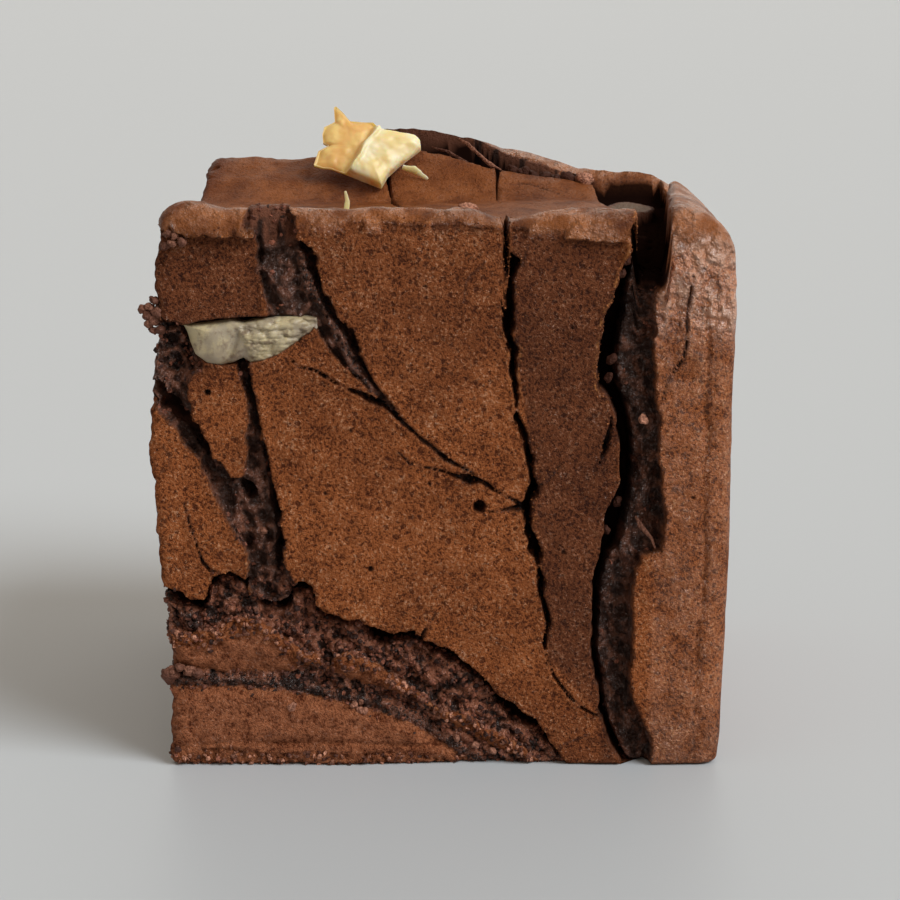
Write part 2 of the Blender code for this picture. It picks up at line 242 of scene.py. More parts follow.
to_front, to_back = y + HALF, HALF - y
to_left, to_right = x + HALF, HALF - x
top = top_height(x, y)
top -= round_drop(to_front, LIP_RADIUS) + round_drop(to_back, BACK_RADIUS)
top -= round_drop(to_right, BAND_RADIUS) + round_drop(to_left, CUT_RADIUS)
z = share_up * top
to_top = top - z
foot = round_drop(z, FOOT_RADIUS)
upright = round_drop(to_front, UPRIGHT_RADIUS) + round_drop(to_back, UPRIGHT_RADIUS)
cut_corner = round_drop(to_front, CUT_RADIUS) + round_drop(to_back, CUT_RADIUS)
reach = np.where(x < 0, along(LEFT_SIDE, z) - cut_corner, along(RIGHT_SIDE, z) - upright)
base = np.stack([x * (1 + (reach - foot) / HALF), y * (1 - foot / HALF), z], axis=1)

# The crust on the pan side split into plates while it baked. Each crack is a route of places and
# half widths in front; the wide ones open on the dark and moist inside of the cake.
FRONT_CRACKS = (
    # the long upright crack, its arm at the left and its hairline branches
    (4.2, ((5.7, 60, 0.3), (5.8, 56.1, 0.25), (5.8, 54.7, 0.35), (5.6, 53.5, 0.35), (6.3, 52.1, 0.3),
           (6.6, 51.5, 0.4), (6.1, 50.3, 0.5), (6.1, 48.4, 0.5), (6.1, 45.5, 0.45), (6.1, 44.2, 0.4),
           (6.5, 43.0, 0.54), (6.5, 40.1, 0.45), (6.7, 38.0, 0.4), (7.0, 35.8, 0.3), (7.8, 33.9, 0.3),
           (8.2, 31.1, 0.3), (8.5, 29.7, 0.35), (8.6, 28.5, 0.45), (8.1, 27.4, 0.5), (8.0, 26.4, 0.59),
           (8.1, 24.4, 0.35), (8.7, 23.0, 0.45), (9.0, 21.9, 0.48), (9.1, 20.9, 0.4), (9.3, 19.6, 0.3),
           (9.4, 17.8, 0.26), (9.9, 16.3, 0.22), (10.2, 15.0, 0.22), (9.9, 13.8, 0.2), (9.8, 12.6, 0.2),
           (10.1, 11.0, 0.14), (10.8, 9.3, 0.09), (11.6, 8.2, 0.1), (12.5, 7.0, 0.14), (13.9, 5.8, 0.09),
           (15.3, 5.1, 0.07))),
    (2.2, ((4.2, 26.4, 0.08), (5.5, 26.6, 0.15), (6.9, 26.7, 0.3), (7.8, 26.6, 0.5))),
    (0.5, ((9.0, 28.8, 0.14), (10.4, 30.3, 0.12), (12.0, 32.0, 0.06))),
    (0.6, ((3.6, 51.7, 0.06), (3.4, 51.0, 0.09), (2.2, 50.2, 0.09), (1.8, 49.4, 0.1), (1.7, 48.2, 0.08),
           (1.5, 47.4, 0.04))),
    (0.6, ((7.8, 53.1, 0.06), (7.6, 52.0, 0.1), (7.5, 51.0, 0.06))),
    # the slanting crack with its black wedge, the groove that runs on from it, and the line below
    (2.6, ((-15.3, 41.7, 0.08), (-14.9, 41.2, 0.15), (-13.1, 40.7, 0.15), (-12.1, 40.1, 0.18),
           (-11.1, 39.5, 0.22), (-10.1, 39.0, 0.2), (-9.3, 38.6, 0.22), (-8.7, 38.3, 0.35),
           (-7.9, 38.0, 0.55), (-7.1, 37.6, 0.5), (-6.3, 37.2, 0.35), (-5.6, 36.6, 0.25),
           (-5.0, 36.1, 0.2))),
    (1.0, ((-5.0, 36.1, 0.25), (-3.7, 34.9, 0.22), (-2.4, 33.7, 0.22), (-1.2, 32.8, 0.2),
           (-0.1, 31.8, 0.24), (1.0, 31.2, 0.2), (2.2, 30.6, 0.15), (2.8, 30.2, 0.06))),
    (1.8, ((-5.2, 32.9, 0.05), (-3.8, 31.4, 0.12), (-1.9, 30.9, 0.1), (-0.1, 30.5, 0.16), (0.8, 30.1, 0.25),
           (1.7, 29.9, 0.3), (3.6, 29.4, 0.3), (4.3, 28.9, 0.2), (5.5, 28.2, 0.14), (6.6, 27.6, 0.14),
           (7.8, 26.9, 0.3))),
    # black lines at the bottom of the scar, of the left crack and of the channel
    (3.6, ((-14.4, 53.2, 0.2), (-13.8, 52.4, 0.4), (-13.6, 52.0, 0.45), (-13.5, 50.6, 0.45),
           (-12.8, 49.0, 0.3), (-12.0, 47.6, 0.3), (-11.2, 45.9, 0.38), (-10.0, 44.5, 0.42),
           (-9.2, 42.8, 0.32), (-8.4, 41.3, 0.26), (-7.6, 39.8, 0.2), (-6.5, 38.3, 0.16),
           (-5.2, 36.9, 0.14))),
    (4.0, ((-28.9, 38.9, 0.5), (-27.9, 37.7, 0.69), (-27.2, 36.8, 0.74), (-25.8, 35.3, 0.64),
           (-24.4, 33.3, 0.54), (-23.7, 31.8, 0.3))),
    (4.0, ((-19.9, 40.7, 0.2), (-19.7, 39.3, 0.25), (-19.4, 38.0, 0.22), (-19.0, 36.5, 0.18),
           (-18.6, 34.8, 0.18), (-18.0, 31.6, 0.2), (-17.6, 28.8, 0.25), (-17.0, 26.2, 0.4),
           (-16.8, 24.4, 0.35), (-16.9, 22.5, 0.42), (-16.9, 20.3, 0.4))),
    (4.0, ((-20.2, 29.0, 0.5), (-19.6, 28.4, 0.65))),
    # soft creases and short splits in the left plate, beside the fissure and on the crust band
    (0.8, ((-26.4, 27.4, 0.06), (-26.0, 25.3, 0.16), (-25.2, 23.1, 0.2), (-24.6, 21.3, 0.2),
           (-23.9, 20.5, 0.2), (-22.9, 20.2, 0.12))),
    (0.5, ((-28.2, 33.3, 0.06), (-27.9, 32.2, 0.1), (-27.6, 31.2, 0.05))),
    (2.2, ((15.1, 31.2, 0.05), (15.4, 32.2, 0.2), (15.8, 33.4, 0.26), (16.2, 35.1, 0.2),
           (16.3, 36.0, 0.1))),
    (0.9, ((24.0, 50.0, 0.1), (23.9, 48.5, 0.17), (23.6, 46.6, 0.17), (23.6, 43.6, 0.17),
           (23.2, 41.8, 0.14), (22.3, 40.5, 0.14), (21.8, 39.6, 0.13), (21.5, 38.6, 0.16),
           (21.3, 37.8, 0.08))),
    (0.4, ((23.0, 52.1, 0.05), (23.3, 50.1, 0.08), (23.7, 48.8, 0.05))),
    # the notch in the plate's lower edge, the gap at its end, and the thin lines at the foot
    (1.6, ((-2.5, 13.6, 0.45), (-2.4, 14.0, 0.3), (-1.8, 14.9, 0.14), (-1.2, 15.9, 0.05))),
    (3.6, ((4.1, 6.0, 0.4), (5.3, 5.2, 0.65), (6.5, 4.1, 0.59), (7.8, 2.9, 0.5), (9.0, 1.6, 0.5),
           (9.9, 0.5, 0.4))),
    (3.4, ((-12.0, 12.1, 0.5), (-11.7, 11.1, 0.7))),
    (0.5, ((11.4, 2.0, 0.07), (12.6, 2.5, 0.08), (14.4, 3.2, 0.05))),
    (0.6, ((-31, 2.1, 0.14), (-28, 1.9, 0.14), (-22.3, 1.6, 0.14), (-16.5, 1.2, 0.12), (-12, 1.0, 0.12),
           (-6.9, 0.7, 0.1))),
)
# (height, left edge, right edge)
FISSURE = ((60, 21.6, 23.6), (58.6, 21.0, 23.0), (57.2, 19.4, 22.0), (56.3, 18.6, 21.5), (55.3, 18.2, 21.2),
           (54.0, 17.9, 21.0), (52.7, 18.2, 20.9), (51.6, 17.6, 20.5), (50.6, 17.1, 20.3),
           (49.5, 16.7, 20.4), (48.3, 16.3, 20.6), (47.0, 15.8, 20.8), (46.4, 15.7, 21.0),
           (44.3, 15.3, 20.5), (43.0, 15.1, 20.5), (41.6, 14.9, 20.4), (40.7, 14.7, 20.5),
           (39.0, 15.0, 20.6), (37.8, 15.8, 20.7), (35.8, 16.6, 21.1), (33.5, 17.1, 21.1),
           (31.5, 17.2, 21.0), (30.2, 17.1, 21.3), (28.9, 16.9, 21.5), (27.0, 16.2, 21.8),
           (25.3, 15.8, 21.8), (23.6, 15.3, 21.6), (22.3, 15.0, 21.3), (21.7, 14.9, 19.5),
           (20.3, 14.7, 18.9), (19.1, 14.6, 18.7), (15.5, 14.6, 18.6), (12.4, 14.3, 18.6),
           (10.0, 14.7, 18.6), (8.9, 15.0, 18.6), (7.7, 15.1, 18.7), (5.3, 15.3, 19.4), (3.9, 15.7, 20.1),
           (2.9, 16.2, 20.6), (1.6, 16.9, 20.7), (-1, 18.5, 20.6))
SCAR = ((59, -19.6, -15.6), (56.2, -19.9, -15.4), (55.2, -20.2, -14.6), (54.4, -19.0, -14.6),
        (53.6, -18.9, -14.9), (52.6, -18.8, -13.9), (51.6, -18.7, -13.2), (50.2, -18.6, -13.0),
        (48.8, -18.2, -12.4), (47.8, -18.0, -11.8), (46.7, -17.8, -11.2), (46.0, -17.7, -10.8),
        (45.8, -14.5, -10.6), (44.7, -12.9, -9.7), (43.3, -12.1, -9.0), (42.0, -11.0, -8.5),
        (40.6, -9.7, -7.8), (39.2, -8.4, -6.9), (38.0, -7.1, -5.9), (36.8, -5.9, -5.0), (35.8, -4.9, -4.5))
CHANNEL = ((41.6, -20.8, -19.7), (40.6, -20.7, -19.6), (39.5, -20.6, -19.4), (38.1, -20.1, -19.2),
           (37.2, -19.9, -19.0), (35.8, -19.9, -18.7), (34.2, -20.1, -18.4), (32.8, -20.0, -18.1),
           (31.2, -20.2, -17.8), (29.9, -20.4, -17.7), (29.4, -24.1, -17.6), (28.2, -23.5, -17.4),
           (27.0, -23.0, -17.1), (26.0, -22.5, -16.8), (24.9, -21.9, -16.4), (23.8, -21.1, -16.4),
           (23.0, -20.3, -16.3), (21.4, -20.0, -16.4), (20.5, -20.1, -16.0), (19.4, -20.2, -15.4),
           (18.0, -19.8, -14.8), (15.8, -19.6, -15.2))
LEFT_CRACK = ((45.5, -29.5, -26.3), (43.5, -30, -25.7), (42.2, -30, -25.0), (41.4, -30, -24.2),
              (40.7, -30, -24.4), (40.1, -30, -25.3), (39.2, -30, -25.7), (38.3, -30, -25.6),
              (36.8, -28.4, -25.5), (35.7, -27.9, -25.3), (34.8, -27.3, -25.0), (33.8, -26.7, -24.0),
              (32.9, -26.0, -23.8), (31.8, -25.2, -23.4), (31.3, -24.9, -22.3), (29.9, -24.2, -21.7),
              (29.3, -24.1, -20.3))
# (across, height) lines of the layers that show under the plates at the lower left
PLATE_EDGE = ((-31, 18.7), (-29.4, 18.6), (-27.9, 18.5), (-26.7, 18.0), (-25.8, 17.2), (-24.5, 17.2),
              (-24.1, 18.4), (-23.5, 19.8), (-22.8, 20.3), (-21.8, 20.4), (-20.8, 20.0), (-20.2, 19.1),
              (-19.9, 17.8), (-19.3, 17.4), (-18.5, 17.0), (-16.7, 16.9), (-15.8, 17.5), (-15.5, 19.0),
              (-14.8, 19.4), (-13.7, 19.1), (-13.3, 17.1), (-12.3, 16.0), (-10.8, 15.5), (-8.9, 15.3),
              (-7.3, 14.2), (-6.0, 13.7), (-4.8, 14.0), (-3.4, 14.3), (-2.4, 13.2), (-1.4, 12.9),
              (0.7, 11.7), (2.7, 10.0), (4.3, 8.4), (5.0, 7.4), (7.0, 6.3), (8.9, 4.8), (10.0, 3.4),
              (11.2, 1.5), (12.1, 0.1), (13.5, -1.6))
LEDGE_TOP = ((-29, 14.0), (-26.6, 14.2), (-24.3, 14.0), (-22.7, 14.8), (-21.3, 15.4), (-19.1, 15.4),
             (-17.3, 14.0), (-15.5, 12.9), (-14.4, 12.1), (-13.0, 11.9), (-12.6, 10.4), (-11.8, 10.4),
             (-11.4, 11.5), (-10.5, 11.7), (-8.2, 11.4), (-6.0, 10.0), (-4.8, 8.9), (-2.8, 7.4),
             (-1.4, 6.3), (2.0, 5.2), (3.9, 4.0), (6.6, 2.8), (8.4, 1.4), (9.9, -0.3))
LEDGE_FOOT = ((-29, 9.9), (-26.6, 9.9), (-21.0, 9.5), (-17.3, 9.7), (-14.2, 10.2), (-11.9, 9.6),
              (-9.6, 8.7), (-6.2, 7.7), (-2.8, 6.4), (-0.3, 4.4), (4.3, 2.0), (7.4, 0.5), (8.4, -0.3))
BEAD_LINE = ((-31, 8.7), (-26.7, 8.8), (-22.1, 8.8), (-17.6, 8.6), (-14.2, 7.9), (-9.6, 6.9), (-7.4, 6.3),
             (-3.9, 4.9), (-0.3, 2.6), (2.7, 0.7), (4.3, -0.7), (6, -2))
LIP_EDGE = ((-30, 54.5), (-27.9, 54.5), (-25.0, 53.9), (-23.0, 54.2), (-20.9, 54.1), (-19.3, 53.8),
            (-14.0, 54.9), (-11.8, 54.7), (-8.7, 54.9), (-5.6, 55.4), (-2.6, 55.3), (0.5, 55.3),
            (3.6, 55.1), (5.6, 55.3), (6.6, 55.2), (8.2, 54.5), (10.1, 54.3), (13.5, 53.9), (16.0, 53.5),
            (17.8, 53.5), (20.7, 52.8), (29, 51.5))
ROPE = ((-14.4, 51.6, 0.4), (-13.9, 49.8, 0.4), (-13.1, 48.2, 0.4), (-12.2, 46.9, 0.4), (-11.1, 45.1, 0.5),
        (-10.4, 43.3, 0.45), (-9.6, 41.6, 0.45), (-8.5, 39.7, 0.4), (-7.3, 38.2, 0.3), (-5.9, 36.9, 0.25))
NUT_TOP = ((-26.6, 45.0), (-24.4, 45.5), (-22.0, 45.8), (-17.5, 46.0), (-14.5, 46.2), (-12.7, 46.0))
NUT_FOOT = ((-26.6, 44.6), (-25.9, 43.4), (-25.1, 42.1), (-23.9, 41.2), (-22.2, 40.9), (-20.2, 41.0),
            (-19.4, 41.2), (-18.3, 41.4), (-16.9, 41.9), (-15.3, 43.0), (-14.2, 43.8), (-12.7, 45.0))
BUBBLES = ((3.2, 27.0, 0.66), (-3.8, 9.6, 0.55), (0.8, 6.5, 0.55), (2.2, 6.5, 0.25), (-23.8, 38.5, 0.3),
           (-20.3, 40.9, 0.6), (-9.6, 34.7, 0.16), (12.3, 45.0, 0.15), (-2.2, 49.2, 0.14),
           (-12.2, 28.3, 0.16), (11.6, 22.3, 0.14), (24.4, 27.9, 0.16), (-7.7, 20.6, 0.2),
           (-1.8, 29.3, 0.2), (-1.0, 28.0, 0.17))


def route_distance(u, v, route):
    """Distance from the middle of a crack, its half width there, and the way to its middle."""
    distance, half = np.full(len(u), 9.0), np.zeros(len(u))
    way_u, way_v = np.zeros(len(u)), np.zeros(len(u))
    margin = 2.5
    for (u0, v0, w0), (u1, v1, w1) in zip(route, route[1:]):
        near = ((u > min(u0, u1) - margin) & (u < max(u0, u1) + margin)
                & (v > min(v0, v1) - margin) & (v < max(v0, v1) + margin))
        near = np.nonzero(near)[0]
        run_u, run_v = u1 - u0, v1 - v0
        share = ((u[near] - u0) * run_u + (v[near] - v0) * run_v) / (run_u ** 2 + run_v ** 2)
        share = np.clip(share, 0, 1)
        to_u, to_v = u0 + share * run_u - u[near], v0 + share * run_v - v[near]
        gap = np.hypot(to_u, to_v)
        closer = gap < distance[near]
        chosen = near[closer]
        distance[chosen] = gap[closer]
        half[chosen] = (w0 + share * (w1 - w0))[closer]
        way_u[chosen], way_v[chosen] = to_u[closer], to_v[closer]
    return distance, half, way_u, way_v


def inside_crack(distance, half, wobble):
    """How far places lie inside a crack, whose edges stray less where it is thin."""
    return 1.15 * half + 1.5 * wobble * np.clip((half - 0.1) / 0.3, 0.15, 1) - distance


def wall(within, softness):
    """0 outside an edge, and rising steeply to 1 inside it."""
    return 1 - np.exp(-np.clip(within, 0, None) / softness)


def ragged(flat):
    """How far a torn edge strays from its drawn line."""
    return 0.17 * rough(flat, 2.3, 3) + 0.2 * rough(flat, 1.05, 4) + 0.12 * rough(flat, 0.5, 5)


def band_edges(u, v, band, wobble):
    """How far places lie inside a band of the front, in all and from its left and right edges, and
    their share of the way across it."""
    left, right = [along(band[::-1], v, column) for column in (1, 2)]
    from_left, from_right = u - left + wobble, right - u + wobble
    within = np.minimum(np.minimum(from_left, from_right), np.minimum(v - band[-1][0], band[0][0] - v))
    return within, from_left, from_right, (u - left) / np.maximum(right - left, 0.1)


def nut_pocket(u, v, wobble):
    """How far places lie inside the pocket that holds the baked nut."""
    below_roof = along(NUT_TOP, u) + 0.15 - 0.35 * ease(u, -19, -14) - v
    above_foot = v - along(NUT_FOOT, u) - 0.3
    between_ends = np.minimum(u + 26.9, -13.2 - u)
    return np.minimum(np.minimum(below_roof, above_foot), between_ends) + 0.3 * wobble


def snap_to_edges(u, v):
    """A small shift of the mesh points that puts the nearest ones on the edges of the cracks."""
    flat = on_plane(u, v)
    wobble = ragged(flat)
    shift_u, shift_v = np.zeros(len(u)), np.zeros(len(u))
    shift_size = np.full(len(u), 0.6 * CELL)

    def offer(size, to_u, to_v):
        """Takes this shift where it is smaller than the one so far."""
        better = np.abs(size) < shift_size
        shift_size[better] = np.abs(size)[better]
        shift_u[better], shift_v[better] = to_u[better], to_v[better]

    level = np.zeros(len(u))
    for _, route in FRONT_CRACKS:
        distance, half, way_u, way_v = route_distance(u, v, route)
        within = inside_crack(distance, half, wobble)
        length = np.maximum(distance, 1e-6)
        thin = half < 0.55 * CELL
        offer(np.where(thin, distance, within), np.where(thin, way_u, -way_u / length * within),
              np.where(thin, way_v, -way_v / length * within))
    for band in (FISSURE, SCAR, CHANNEL, LEFT_CRACK):
        within, from_left, from_right, _ = band_edges(u, v, band, wobble)
        inside_rows = (v > band[-1][0]) & (v < band[0][0])
        offer(np.where(inside_rows, from_left, 9), -from_left, level)
        offer(np.where(inside_rows, from_right, 9), from_right, level)
    below = along(PLATE_EDGE, u) - v + 1.3 * wobble
    offer(below, level, below)
    in_nut = nut_pocket(u, v, wobble)
    offer(in_nut, level, np.where(v > 43.6, in_nut, -in_nut))
    return shift_u, shift_v


def front_relief(u, v):
    """Depth below the plain front face at places (across, height), and what shows there."""
    flat = on_plane(u, v)
    wobble = ragged(flat)
    clods = crumbs_of(flat, 1.15, 9) + 0.55 * crumbs_of(flat, 0.6, 10)
    fine = crumbs_of(flat, 0.5, 12)
    inside, cut, lit_rim = np.full(len(u), -9.0), np.zeros(len(u)), np.zeros(len(u))
    for deep, route in FRONT_CRACKS:
        distance, half, _, _ = route_distance(u, v, route)
        within = inside_crack(distance, half, wobble)
        fall = deep * wall(within, 0.12) * np.clip(half / 0.22, 0.25, 1)
        cut = np.maximum(cut, fall)
        inside = np.maximum(inside, np.where(half > 0.1, within, np.minimum(within, 0.02)))
        # lit_rim marks plate edges that catch the window's light; they are painted orange there, a painted
        # highlight
        lit_rim = np.maximum(lit_rim, np.clip(half / 0.3, 0, 1) * np.exp(-np.abs(within + 0.1) / 0.12))

    # the fissure is deepest and blackest along its left edge, and folded lengthways
    within, from_left, _, share = band_edges(u, v, FISSURE, wobble)
    folds = crumbs_of(flat * (1, 0.35, 1), 1.3, 7) + 0.5 * crumbs_of(flat * (1, 0.6, 1), 0.7, 8)
    folds = folds + 0.3 * fine
    strip = 0.34 - 0.16 * ease(v, 24, 18)
    creases = 1 - 2.2 * np.abs(rough(flat * (1, 0.3, 1), 1.2, 62)) + 0.4 * rough(flat, 0.6, 63)
    body = 3.2 + 0.5 * ease(share, 0.8, 1.0) - 0.7 * folds - 0.55 * creases
    body = body + 0.4 * rough(flat, 4, 8) + 1.2 * ease(v, 46, 54)
    body = body - ridge(share - 0.2 - 0.09 * (v - 24), 0.13) * ease(v, 22, 24) * ease(v, 34, 31)
    deep = body + (5.4 - body) * (1 - ease(share, strip - 0.1, strip + 0.05)) * ease(from_left, 0, 0.1)
    cut = np.maximum(cut, deep * wall(within, 0.16))
    inside = np.maximum(inside, within)
    in_fissure = ease(within, 0, 0.3) * ease(share, strip, strip + 0.1)
    lit_edge = ease(v, 35, 39) * np.exp(-np.abs(from_left + 0.25) / 0.25) * (from_left < 0.1)
    lit_rim = np.maximum(lit_rim, lit_edge)

    # the scar is a shallow torn patch of clods, with a shiny rope beside its black line
    within, from_left, _, _ = band_edges(u, v, SCAR, wobble * (1 + 0.8 * ease(v, 50, 53)))
    folded = crumbs_of(flat * (1, 0.5, 1) + 0.5 * wobble[:, None], 1.5, 46)
    slanted = on_plane(u + 0.45 * v, v - 0.45 * u)
    ridges = 1 - 2.4 * np.abs(rough(slanted * (1, 0.7, 1), 1.4, 60)) + 0.7 * rough(flat, 0.55, 61)
    deep = 1.75 - 0.35 * clods - 0.4 * folded - 0.5 * ridges - 0.25 * fine
    deep = deep + 0.7 * ridge(from_left - 0.2, 0.3) + 1.2 * ease(v, 53.2, 54.6)
    scar_fall = wall(within, 0.12)
    rope_gap, rope_half, _, _ = route_distance(u, v, ROPE)
    on_rope = np.sqrt(np.clip(1 - (rope_gap / (rope_half + 0.12)) ** 2, 0, 1))
    deep = deep - on_rope * (0.3 + 0.6 * fine)
    cut = np.maximum(cut, deep * scar_fall)
    inside = np.maximum(inside, within)
    crumbly = (0.05 + 0.35 * ease(v, 53.2, 54)) * ease(within, 0, 0.2) * (1 - on_rope)
    torn = ease(within, 0, 0.2) * (1 - 0.6 * ease(v, 53, 54))
    for band in (CHANNEL, LEFT_CRACK):
        within, _, _, _ = band_edges(u, v, band, wobble)
        lengthways = crumbs_of(flat * (1, 0.45, 1), 1.0, 52)
        deep = 2.6 - 0.4 * clods - 0.6 * lengthways - 0.6 * ridges - 0.25 * fine + 0.4 * rough(flat, 3, 17)
        cut = np.maximum(cut, deep * wall(within, 0.13))
        inside = np.maximum(inside, within)
        strewn = 0.05 + 0.25 * ease(rough(flat, 3, 53), 0.1, 0.5) + 0.7 * ease(v, 20.5, 18.5)
        crumbly = np.maximum(crumbly, strewn * ease(within, 0, 0.2))
        torn = np.maximum(torn, ease(within, 0, 0.2))

    # under the plates: a black gap, crumbs, a smooth ledge, rows of beads and the lowest layer
    below = along(PLATE_EDGE, u) - v + 1.3 * wobble
    gap_size = 0.9 + 1.2 * rough(flat, 2.6, 18) + 0.4 * rough(flat, 0.9, 47)
    gap = ease(below, 0, 0.12) * (1 - ease(below, gap_size, gap_size + 0.25))
    running = on_plane(0.35 * (0.87 * u - 0.5 * v), 0.5 * u + 0.87 * v)
    layers = crumbs_of(running, 1.1, 48)
    ledge_top, ledge_foot = along(LEDGE_TOP, u) + 1.6 * wobble, along(LEDGE_FOOT, u) + wobble
    on_ledge = ease(ledge_top - v, -0.1, 0.35) * ease(v - ledge_foot, -0.15, 0.3)
    ledge_crumbs = ease(ledge_top - v, 2.4, 0.9) * on_ledge
    beads = along(BEAD_LINE, u) + 0.4 * wobble
    on_low = ease(beads - 0.5 - v, -0.1, 0.3)
    bead_band = ridge(v - beads, 0.55)
    strata = 3.0 - 0.7 * clods - 1.0 * layers - 0.4 * fine + 0.5 * rough(running, 1.4, 64)
    strata = strata * (1 - 0.3 * ease(u, -6, 6))
    ledge_round = 0.5 + 0.45 * ease(v - ledge_foot, 1.0, 0) - ledge_crumbs * (0.45 * fine + 0.4 * clods)
    ledge_round = ledge_round + 0.5 * ledge_crumbs + 0.25 * rough(flat * (1, 2, 1), 2.5, 19)
    ledge_round = ledge_round + 0.12 * rough(flat * (1, 1.6, 1), 1.1, 51)
    strata = strata * (1 - on_ledge) + ledge_round * on_ledge
    low_layer = 0.12 + 0.8 * ease(beads - v, 2.0, 0.4) + 0.22 * rough(flat * (0.5, 1.5, 1), 1.8, 20)
    base_strip = ease(1.6 + 0.4 * rough(flat, 4, 22) - v - 0.03 * (u + 22), -0.2, 0.1)
    low_layer = low_layer + base_strip * (0.5 - 0.45 * fine)
    low_layer = low_layer + 0.25 * ridge(v - 2.2 - 0.5 * rough(flat, 5, 49), 0.2)
    strata = strata * (1 - on_low) + low_layer * on_low
    strata = strata * (1 - bead_band) + (0.95 - 0.4 * crumbs_of(flat, 0.42, 21)) * bead_band
    strata = strata + 2.4 * gap
    in_strata = ease(below, 0, 0.12) * (1 - ease(u, 11.5, 12.5))
    cut = np.maximum(np.where(gap * in_strata > 0.3, cut, cut * (1 - 0.85 * in_strata)), strata * in_strata)
    for place_u, place_v, radius in BUBBLES:
        within = radius + 0.4 * wobble - np.hypot(u - place_u, v - place_v)
        cut = np.maximum(cut, 4 * radius * wall(within, 0.12))
        inside = np.maximum(inside, within)
    smooth_brown = np.clip(on_ledge * (1 - 0.5 * ledge_crumbs) + on_low - bead_band, 0, 1) * in_strata
    # painted highlight along the plates' lower edges
    lit_rim = np.maximum(lit_rim, 0.7 * np.exp(-np.abs(below + 0.12) / 0.1) * (u < 11.5))
    lit_rim = lit_rim * (1 - in_strata)
    inside = np.where(in_strata > 0.5, np.where(smooth_brown > 0.4, -1, np.maximum(below, 0.1)), inside)
    torn_strata = in_strata * (1 - smooth_brown) * (1 - bead_band) * (1 - gap)
    crumbly = np.maximum(crumbly * (1 - in_strata), torn_strata)
    crumbly = np.maximum(crumbly, in_strata * (0.3 * ledge_crumbs + 0.15 * base_strip * on_low))
    flaky = in_strata * (ledge_crumbs + 0.6 * base_strip * on_low) * (1 - gap)

    in_nut = nut_pocket(u, v, wobble)
    cut = np.maximum(cut, 5.8 * ease(in_nut, 0, 0.25))
    inside = np.maximum(inside, in_nut)
    # the lip's skin hangs over the plates with a torn lower edge, crumbly and shiny underneath
    lip_gap = along(LIP_EDGE, u) + 1.3 * wobble - v
    under_lip = ease(lip_gap, -0.02, 0.1) * ease(v, 44, 52.5) * (1 - ease(u, 17, 18))
    shiny_lip = ease(lip_gap, 0, 0.1) * (1 - ease(lip_gap, 0.3, 0.7 + 0.4 * rough(flat, 2, 50)))
    shiny_lip = shiny_lip * (1 - ease(np.abs(u + 1.5), 4, 6.5)) * ease(fine, 0.35, 0.8)
    satin = 1 - ease(lip_gap, -0.1, 0.05)
    # painted highlight along the lip's torn lower edge
    lit_rim = np.maximum(lit_rim, 0.8 * np.exp(-np.abs(lip_gap + 0.12) / 0.12) * (1 - ease(u, 17, 18)))
    plate = 0.28 * rough(flat, 11, 13) + 0.10 * rough(flat, 3, 14) + 0.08 * rough(flat, 1.2, 15)
    plate = plate + 0.075 * rough(flat, 0.62, 16) + 0.5 * under_lip + shiny_lip * (0.35 - 0.3 * fine)
    plate = plate + 0.35 * (1 - ease(u, -18.6, -18.2)) * ease(v, 44, 46) * under_lip
    hollow = np.exp(-((u + 26.6) / 2.2) ** 2 - ((v - 42.0) / 2.6) ** 2)
    plate = plate + 1.5 * hollow - hollow * 0.25 * clods
    round_edge = -0.09 * ridge(inside + 0.18, 0.14)
    moist = np.maximum(ease(inside, -0.05, 0.1), 0.6 * shiny_lip)
    # painted shade: the deepest parts of the cracks and the gap under the plates are painted black
    black = np.clip(ease(cut, 3.2, 4.4) + gap * in_strata, 0, 1) * moist
    shiny = np.clip(on_rope * scar_fall * ease(fine, 0.3, 0.7) + 0.8 * bead_band * in_strata, 0, 1)
    shiny = np.maximum(shiny, moist * (1 - black) * (0.8 * ease(fine + 0.5 * clods, 0.6, 1.2)))
    crumbly = np.maximum(crumbly, 0.04 * in_fissure)
    torn = np.maximum(torn, 0.4 * in_fissure) * (1 - black) * (1 - 0.8 * ease(v, 39, 41) * (u < -23))
    shiny = shiny * (1 - 0.9 * ease(v, 52.3, 53.5))
    beady = np.clip(0.6 * on_rope * scar_fall + 0.8 * bead_band * in_strata, 0, 1)
    # height also carries painted glints along the rope
    height = 0.3 * clods + 0.35 * fine + 0.3 * ridges + on_rope * scar_fall * ease(fine, 0.3, 0.8)
    height = np.clip(height * (1 + 0.4 * in_strata), 0, 1) * (1 - 0.9 * ease(v, 52.8, 53.8))

    main_crack = np.interp(v, [5.1, 11, 20, 27, 34, 43, 60], [15.3, 10.1, 9.2, 8.0, 7.8, 6.5, 5.8])
    middle_strip = ease(u - main_crack, 0, 0.4) * (1 - ease(u, 16.5, 18)) * (1 - 0.5 * ease(v, 12, 5))
    left_block = (1 - ease(u, -18.6, -18.2)) * ease(v, 44.5, 46)
    upper_plate = ease(v, 34, 46) * (1 - left_block) * (1 - ease(u, 5, 7))
    # darker tone on the middle strip, the left block, the upper plate and towards the bottom, and painted
    # shade in the hollow beside the nut
    darker_zones_and_shade = np.clip(0.85 * middle_strip + 0.8 * left_block + 0.35 * upper_plate + 1.3 * hollow, 0, 1)
    darker_zones_and_shade = np.clip(darker_zones_and_shade + 0.35 * ease(10 - v, 0, 8) * ease(u, -12, 0), 0, 1) * (1 - smooth_brown)
    return (cut + plate + round_edge, {
        "moist": moist, "black": black, "rim": lit_rim * (1 - moist), "crumbly": crumbly,
        "ledge": smooth_brown, "shiny": shiny, "height": height, "darker_zones_and_shade": darker_zones_and_shade, "satin": satin,
        "beady": beady, "flaky": flaky, "torn": torn})


